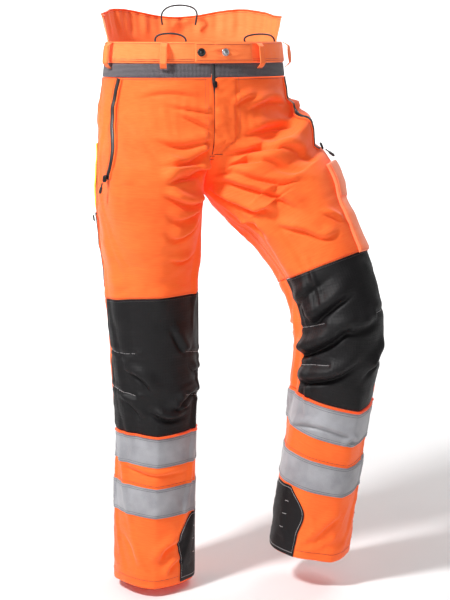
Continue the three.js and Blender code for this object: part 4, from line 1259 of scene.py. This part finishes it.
def front_x(x, v, lift):
    """Points on the front by distance from the middle, in mm."""
    x, v, lift = np.broadcast_arrays(np.asarray(x, float), np.asarray(v, float), np.asarray(lift, float))
    u = np.abs(x) / FRONT_HALF_GIRTH
    sides = [base(s, u, v) + normal(s, u, v) * (relief(s, u, v) + lift)[..., None] for s in SIDES]
    return np.where((x < 0)[..., None], sides[0], sides[1]) * 0.001


def patch_grid(name, grid, size, material, cell=2.0, roll=1.0, outer=1.0, inner=0.0, extra=None):
    """A piece from grid(s, t, lift)."""
    s, t = spaced(size[0], cell), spaced(size[1], cell)
    ss, tt = np.meshgrid(s, t)
    edge = np.minimum(np.minimum(ss, 1 - ss) * size[0], np.minimum(tt, 1 - tt) * size[1])
    fall = (1 - smooth(edge / 2.6)) * roll
    more = extra(ss, tt) if extra is not None else 0
    thick = outer - inner
    flat_size(grid(ss, tt, outer))
    return shell_mesh(name, grid(ss, tt, outer - 0.42 * thick * fall + more),
                      grid(ss, tt, inner + 0.25 * thick * fall + more), (size[0] / 1000, size[1] / 1000),
                      material, s=s, t=t)


def placket_grid(s, t, lift):
    v = mix(PANEL_TOP + 1, FLY_BOTTOM - 9, t)
    end = smooth((t - 0.78) / 0.22)
    near = mix(0.8, -0.5, smooth((v - 62) / 44))
    return front_x(near + s * 27 * (1 - 0.62 * end), v - s * 17 * end, lift)


def placket_rumple(s, t):
    return lattice(s * 3, t * 16, 41) * 1.0 + 1.6 * np.exp(-((t - 0.42 - 0.12 * s) / 0.05) ** 2) * (s > 0.1)


FLY_FRONT = np.array([0, -1.0, 0.0])
placket = patch_grid("cloth_fly_placket", placket_grid, (27, 142), ORANGE, outer=2.1, inner=0.8,
                     extra=placket_rumple)
place_piece(placket, "trousers", "fly_placket", "stretched")


def fly_zip_grid(s, t, lift):
    return front_x(mix(-3.6, 3.6, s), mix(WAISTBAND_HEIGHT + 1, FLY_BOTTOM - 8, t), lift)


def fly_teeth(s, t):
    return 0.35 * np.sin(t * 166 * 2 * np.pi / 2.4) * np.exp(-((s - 0.5) / 0.22) ** 2)


zip_strip = patch_grid("fly_zip_strip", fly_zip_grid, (7, 166), ZIP, cell=1.2, outer=-0.5, inner=-2.2,
                       extra=fly_teeth)
place_piece(zip_strip, "trousers", "fly_zip")

for x0 in (-9.0, -12.4):
    stitches("trousers", "dark", front_x(x0, np.linspace(PANEL_TOP + 2, 196, 90), 0.2), FLY_FRONT, SEAM_ROW)
t = np.linspace(0, 1, 90)
curve_x = 33 - 22 * smooth((t - 0.72) / 0.28) ** 1.4
curve_v = mix(PANEL_TOP + 2, 196, t) + 8 * smooth((t - 0.8) / 0.2)
stitches("trousers", "dark", front_x(curve_x, curve_v, 0.2), FLY_FRONT, SEAM_ROW)
stitches("trousers", "black", front_x(np.linspace(3, 14, 12), 203.0, 0.6), FLY_FRONT, (1.0, 1.4, 0.55))
for v0 in (206.0, 212.0):
    stitches("trousers", "black", front_x(np.linspace(-4, 4, 10), v0, 0.8), FLY_FRONT, BARTACK)

# ---- Waist tab with its snap and shank button ----
TAB = (-0.068, 0.143)
TAB_TOP, TAB_BOTTOM, TAB_OUT = 2, 36, 4.8
BUTTON_AT, SNAP_AT, SNAP_V = 0.036, -0.047, 19
TAB_SCALE = 380


def tab_grid(s, t, lift):
    return waist(mix(*TAB, s), mix(TAB_TOP, TAB_BOTTOM, t), lift)


def tab_shape(s, t):
    a = mix(*TAB, s)
    x = (a - BUTTON_AT) * TAB_SCALE
    y = (t - 0.5) * (TAB_BOTTOM - TAB_TOP)
    eye = 1.1 * np.exp(-((np.abs(y) - 7.5 * np.exp(-(x / 22) ** 2)) / 2.6) ** 2) * np.exp(-(x / 24) ** 2)
    dent = -0.9 * np.exp(-(x / 9) ** 2 - (y / 4) ** 2)
    rest = np.exp(-((a - SNAP_AT) * TAB_SCALE / 12) ** 2)
    return (eye + dent + lattice(s * 9, t * 3, 51) * 0.35) * (1 - rest) + 0.5 * smooth((s - 0.72) / 0.2)


tab = patch_grid("cloth_waist_tab", tab_grid, (81, 34), ORANGE_THICK, cell=1.6, outer=TAB_OUT,
                 inner=TAB_OUT - 2, extra=tab_shape)
place_piece(tab, "waist_tab", "waist_tab")
for s0, s1, t0, t1 in ((0.03, 0.97, 0.09, 0.09), (0.03, 0.97, 0.91, 0.91), (0.03, 0.03, 0.09, 0.91)):
    s = np.linspace(s0, s1, 60)
    t = np.linspace(t0, t1, 60)
    out = np.array([waist_out(a) for a in mix(*TAB, s)])
    stitches("waist_tab", "dark", tab_grid(s, t, TAB_OUT + tab_shape(s, t)), out, (3.6, 2.4, 0.34))
s = np.linspace(0.36, 0.54, 16)
for t0 in (0.42, 0.58):
    t = np.full(16, t0)
    stitches("waist_tab", "orange", tab_grid(s, t, 5.0 + tab_shape(s, t)), waist_out(BUTTON_AT),
             (1.0, 0.7, 0.4))


def lathe(name, start, axis, profile, material, segments=40):
    """A turned part: rows of radius and height in mm, along axis from start."""
    side_way = unit(np.cross([0, 0, 1.0], axis))
    other = np.cross(axis, side_way)
    rows = np.asarray(profile, float) * 0.001
    angle = np.linspace(0, 2 * np.pi, segments, endpoint=False)
    ring = side_way * np.cos(angle)[:, None] + other * np.sin(angle)[:, None]
    verts = start + axis * rows[:, 1][:, None, None] + ring[None] * rows[:, 0][:, None, None]
    return round_solid(name, verts, start + axis * rows[[0, -1], 1][:, None], material)


def bare_waist(a, v, lift):
    side = "right" if a < 0 else "left"
    u, v = np.array(abs(a)), np.array(float(v))
    return (base(side, u, v) + normal(side, u, v) * lift) * 0.001


SNAP_PROFILE = [[7.5, 0], [7.5, 0.6], [7.2, 1.1], [6.4, 1.6], [5.9, 1.5], [5.5, 1.3], [5.0, 1.5], [3.8, 2.1],
                [2.2, 2.4], [0.8, 2.5]]
BUTTON_PROFILE = [[2, 0], [2, 3.1], [6.4, 3.2], [6.9, 3.5], [7.0, 4.0], [6.8, 4.5], [6.2, 4.8], [5.6, 4.6],
                  [5.0, 4.4], [4.4, 4.6], [3.4, 5.2], [1.8, 5.5], [0.6, 5.5]]
STUD_PROFILE = [[4.5, 0], [4.5, 0.2], [4.2, 0.4]]
for name, at, lift, profile, material, body, node, slot in (
        ("snap_cap_gloss", SNAP_AT, 5.4, SNAP_PROFILE, SNAP, "waist_tab", "snap_cap", "snap_black"),
        ("shank_button_metal", BUTTON_AT, 2.6, BUTTON_PROFILE, METAL, "trousers", "shank_button",
         "button_metal"),
        ("snap_stud_metal", SNAP_AT, 2.1, STUD_PROFILE, METAL, "trousers", "snap_stud", "button_metal")):
    turned = lathe(name, bare_waist(at, SNAP_V, lift), waist_out(at), profile, material)
    place_piece(turned, body, node)


# ---- Belt loops ----
STRAP_ACROSS = np.array([-1, -0.97, -0.85, -0.5, 0, 0.5, 0.85, 0.97, 1.0])
STRAP_BULGE = np.array([0.5, 0.8, 1.0, 0.96, 0.92, 0.96, 1.0, 0.8, 0.5])


def strap(name, centres, across, out, width, thick, material):
    """A flat band along centres, metres; its width and thickness in mm."""
    lines = centres[:, None] + across[:, None] * (STRAP_ACROSS * width / 2000)[None, :, None]
    bulge = out[:, None] * (STRAP_BULGE * thick / 2000)[None, :, None]
    return shell_mesh(name, lines + bulge, lines - bulge, (width / 1000, float(distances(centres)[-1])),
                      material)


LOOPS = [-0.175, 0.175, -0.43, 0.417, -0.72, 0.72, 1]
SIDE_TWIST = {-0.43: -0.4, 0.417: 0.45}
LOOP_POINTS = 40
LOOP_LIFT = 2.8 + 0.8
for number, a in enumerate(LOOPS, 1):
    t = np.linspace(0, 1, LOOP_POINTS)
    bow = 9.5 * np.minimum(1, 1.9 * np.sin(np.pi * t))
    bow = np.where((t < 0.03) | (t > 0.97), 0.0, bow)
    straight = np.tile(waist_out(a), (LOOP_POINTS, 1))
    flat = unit(np.cross(straight, [0, 0, 1.0]))
    twist = SIDE_TWIST.get(a, 0.0) * np.sin(np.pi * t)[:, None]
    out = straight * np.cos(twist) + flat * np.sin(twist)
    across = flat * np.cos(twist) - straight * np.sin(twist)
    side = "right" if a < 0 else "left"
    u, v = np.full(LOOP_POINTS, abs(a)), 1 + 47 * t
    centre = base(side, u, v) * 0.001 + normal(side, u, v) * ((LOOP_LIFT + bow) * 0.001)[:, None]
    loop = strap(f"belt_loop_strap_{number}", centre, across, out, 12, 2.0, ORANGE_THICK)
    place_piece(loop, "trousers", f"belt_loop_{number}")
    middle = slice(3, -3)
    for shift in (-0.0042, 0.0042):
        stitches("trousers", "dark", centre[middle] + across[middle] * shift + out[middle] * 0.0008,
                 out[middle], LOOP_ROW)
    for k in (1, LOOP_POINTS - 2):
        ends = centre[k] + across[k] * np.linspace(-0.0052, 0.0052, 12)[:, None] + out[k] * 0.001
        stitches("trousers", "dark", ends, out[k], WIDE_BARTACK)

# ---- Zips ----
ZIPS = {
    "pocket_zip_right": ("right", [(0.362, 66), (0.38, 110), (0.399, 155), (0.418, 200), (0.436, 244)]),
    "pocket_zip_left": ("left", [(0.362, 66), (0.369, 92), (0.376, 114), (0.386, 136), (0.396, 176), (0.409,
                                                                                                      220),
                                 (0.43, 292)]),
    "vent_zip_right": ("right", [(0.52, 316), (0.512, 362), (0.504, 408), (0.495, 456)]),
    "vent_zip_left": ("left", [(0.66, 330), (0.66, 374), (0.66, 418), (0.66, 462)]),
}


ZIP_STEP, ZIP_HALF, TOOTH_PITCH = 0.7, 3.5, 2.1
# Across a zip: place as a share of its half width, and height in mm.
ZIP_ACROSS = np.array([-1, -0.9, -0.62, -0.5, -0.3, -0.12, 0, 0.12, 0.3, 0.5, 0.62, 0.9, 1.0])
ZIP_RISE = np.array([0.5, 0.9, 1.0, 0.75, 1.5, 1.7, 1.25, 1.7, 1.5, 0.75, 1.0, 0.9, 0.5])


def zip_line(side, points):
    """The middle line of a zip, with its directions outward and across."""
    line_uv = spline(points, 30)
    p = base(side, line_uv[:, 0], line_uv[:, 1])
    uv = np.vstack([resample(np.hstack([p, line_uv]), ZIP_STEP)[:, 3:], line_uv[-1:]])
    n = normal(side, uv[:, 0], uv[:, 1])
    centre = skin(side, uv[:, 0], uv[:, 1], 0)
    return centre, n, unit(np.cross(unit(np.gradient(centre, axis=0)), n))


for name, (side, points) in ZIPS.items():
    centre, n, across = zip_line(side, points)
    k = np.arange(len(centre))
    teeth = 0.28 * np.sin(k * ZIP_STEP * 2 * np.pi / TOOTH_PITCH)[:, None] * (np.abs(ZIP_ACROSS) < 0.45)
    up = (2.2 + ZIP_RISE[None] + teeth) / 1000
    lines = centre[:, None] + across[:, None] * (ZIP_ACROSS * ZIP_HALF / 1000)[None, :, None]
    obj = shell_mesh(name + "_strip", lines + n[:, None] * up[..., None], lines + n[:, None] * 0.0006,
                     (0.007, ZIP_STEP / 1000 * len(centre)), ZIP)
    place_piece(obj, "trousers", name)
    # the welts beside the zip
    for way, letter in ((-1, "a"), (1, "b")):
        path = (centre + across * way * 0.0056 + n * 0.0006)[::5]
        place_piece(tube(f"{name}_welt_{letter}", path, 0.0019, ORANGE, sides=10), "trousers")
        stitches("trousers", "orange", centre + across * way * 0.0092 + n * 0.0002, n, TOP_ROW)
    for end in (0, -1):
        bar = centre[end] + across[end] * np.linspace(-0.0045, 0.0045, 11)[:, None] + n[end] * 0.0035
        stitches("trousers", "black", bar, n[end], WIDE_BARTACK)


def refined(name, node, material, width=0.0004):
    """The node's own shape with rounded edges."""
    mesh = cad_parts[node].data.copy()
    mesh.name = name
    mesh.materials.clear()
    mesh.materials.append(material)
    bm = bmesh.new()
    bm.from_mesh(mesh)
    bmesh.ops.remove_doubles(bm, verts=bm.verts, dist=1e-5)
    bmesh.ops.dissolve_limit(bm, angle_limit=0.05, verts=bm.verts, edges=bm.edges)
    bmesh.ops.bevel(bm, geom=list(bm.edges), offset=width, segments=2, profile=0.6, affect="EDGES",
                    clamp_overlap=True)
    for face in bm.faces:
        face.smooth = True
    bm.to_mesh(mesh)
    bm.free()
    obj = bpy.data.objects.new(name, mesh)
    COLLECTION.objects.link(obj)
    return obj


for node in ["fly_slider"] + [f"{kind}_{side}" for kind in ("pocket_slider", "vent_slider", "pocket_pull")
                              for side in SIDES]:
    piece = refined(node + "_shape", node, GRIP if "pull" in node else SLIDER)
    place_piece(piece, node, node)

# ---- Thigh pockets ----
CARGO_U, CARGO_V, FLAP_SHARE = (0.362, 0.6), (346, 504), 3 / 8


def cargo_u(s, t):
    return mix(CARGO_U[0] - 0.045 * t, CARGO_U[1], s)


def bellows(u, v, ss, tt):
    edge = np.minimum(np.minimum(ss, 1 - ss) * 130, np.minimum(tt, 1 - tt) * 158)
    return lattice(ss * 5, tt * 6, 61) * 1.4 * smooth(edge / 14) - 2.5 * (1 - smooth(edge / 7))


def flap_rumple(u, v, ss, tt):
    return lattice(ss * 5, tt * 3, 71) * 0.5 + 0.3


def cargo_at(share):
    """Places on the cargo pocket, down to that share of its height."""
    return lambda s, t: (cargo_u(s, t * share), mix(*CARGO_V, t * share))


def pouch_at(s, t):
    return mix(0.55, 0.65, s), mix(185, 337, t)


pocket = cloth("cloth_cargo_pocket", "left", cargo_at(1), (130, 158), 6.8, 1.4, ORANGE_LIGHT, cell=2.4,
               extra=bellows)
place_piece(pocket, "trousers", "cargo_pocket")
flap = cloth("cloth_cargo_flap", "left", cargo_at(FLAP_SHARE), (128, 62), 9.2, 7.6, ORANGE_LIGHT, cell=2.4,
             extra=flap_rumple)
place_piece(flap, "cargo_flap", "cargo_flap", "hung")
for body, share, lift in (("trousers", 1, 5.6), ("cargo_flap", FLAP_SHARE, 9.4)):
    for inset in (2.4, 5.6):
        si, ti = inset / 130, inset / ((CARGO_V[1] - CARGO_V[0]) * share)
        route = [(si, ti), (si, 1 - ti), (1 - si, 1 - ti), (1 - si, ti)]
        for (s0, t0), (s1, t1) in zip(route[:-1], route[1:]):
            u, v = cargo_at(share)(np.linspace(s0, s1, 50), np.linspace(t0, t1, 50))
            row("left", u, v, lift, body, "orange", TOP_ROW)
for u0, v0 in ((0.372, 428), (0.372, 456), (0.56, 428)):
    row("left", np.linspace(u0 - 0.008, u0 + 0.008, 9), v0, 6.6, "trousers", "dark", BARTACK)

pouch = cloth("cloth_first_aid_pouch", "right", pouch_at, (52, 150), 6.0, 1.6, YELLOW, cell=2.4,
              extra=lambda u, v, ss, tt: lattice(ss * 3, tt * 8, 81) * 0.8)
place_piece(pouch, "trousers", "first_aid_pouch")
for s0 in (0.06, 0.94):
    row("right", *pouch_at(s0, np.linspace(0.02, 0.98, 60)), 5.2, "trousers", "orange", TOP_ROW)

# ---- Inner layers: pocket bags and cut pads ----
PAD_TOP = 1.8 + 1.4 + 2 + 1.4
QUILT_STEP = 52


def quilt(u, v, ss, tt):
    return (np.abs(np.sin(np.pi * v / QUILT_STEP)) ** 0.5 - 1) * 1.2


for side in SIDES:
    bag = cloth(f"cloth_pocket_bag_{side}", side, lambda s, t: (mix(0.25, 0.4, s), mix(84, 240, t)),
                (80, 156), -3.3, -5.1, LINING, cell=4)
    place_piece(bag, "trousers", f"pocket_bag_{side}", "hung")
    pad = cloth(f"cut_pad_quilt_{side}", side, lambda s, t: (mix(0.05, 0.45, s), mix(120, 995, t)),
                (205, 875), -PAD_TOP, -PAD_TOP - 4.2, FIBRE, cell=5, extra=quilt)
    knee_piece(pad, side, "cut_pad")

# ---- Seams and their stitching ----
for side in SIDES:
    shin = f"shin_{side}"
    v = np.linspace(PANEL_TOP + 3, KNEE_TOP[side] - 4, 220)
    # the outseam's two rows, the inseam's one and the centre back's two
    for u, places in ((0.5075, v), (0.5145, v), (0.9915, v[v > RISE + 6]), (0.994, v[v < RISE - 8]),
                      (0.9865, v[v < RISE - 8])):
        row(side, u, places, 0.1, "trousers", "orange", SEAM_ROW)
    row(side, np.linspace(0.03, 0.99, 240), PANEL_TOP + 3.1, 0.1, "trousers", "dark", SEAM_ROW)
    u = np.linspace(0.0, 0.99, 240)
    row(side, u, knee_top(side, u) - 3.2, 0.1, "trousers", "orange", SEAM_ROW)
    # the hem
    u = np.linspace(0.13, 0.91, 220)
    row(side, u, hem_v(side, u) - 15, 0.1, shin, "dark", SEAM_ROW)
    # side seam of the lower leg, split round the tapes, and its bartacks
    for v0, v1 in ((796, 833), (894, 1012)):
        row(side, 0.448, np.linspace(v0, v1, 60), 0.1, shin, "orange", SEAM_ROW)
    for v0 in (948, 966, 980, 998):
        row(side, np.linspace(0.405, 0.415, 7), v0, 0.3, shin, "dark", (1.0, 1.4, 0.45))
    # the row above the lower tape
    u = np.linspace(0.0, 1.0, 240)
    row(side, u, TAPE_TOP["lower"] - 5 + dips(side, u, 11), 0.1, shin, "dark", SEAM_ROW)

# ---- Stitching on the knees ----
for side in SIDES:
    body = "knee_" + side
    dip = dart_dip(side)
    for points in DARTS[side]:
        u, v = spline(points, 10).T
        row(side, u, v, 0.7 + dip(u, v), body, "white", DART_ROW)
    v = np.linspace(KNEE_TOP[side] + 4, KNEE_BOTTOM - 3, 120)
    for edge in (KNEE_EDGES[0] + 0.0075, KNEE_EDGES[1] - 0.0075):
        u = np.full(v.shape, edge)
        row(side, u, v, 0.6 + dip(u, v), body, "black", KNEE_ROW)
    row(side, 0.507, v, 0.1, body, "orange", KNEE_ROW)
    u = np.linspace(KNEE_EDGES[0] + 0.01, KNEE_EDGES[1] - 0.01, 120)
    row(side, u, knee_top(side, u) + 4.0, 0.6, body, "black", KNEE_ROW)

flush_stitches()

# ---- Felled seams down the centre front and back ----
for seam_name, at_u, top in (("front", 0.0, FLY_BOTTOM + 2), ("back", 1.0, 66)):
    v = np.linspace(top, RISE - 4, 70)
    felled = tube("felled_seam_" + seam_name, skin("left", at_u, v, -1.7), 0.0013, ORANGE, sides=8)
    place_piece(felled, "trousers")
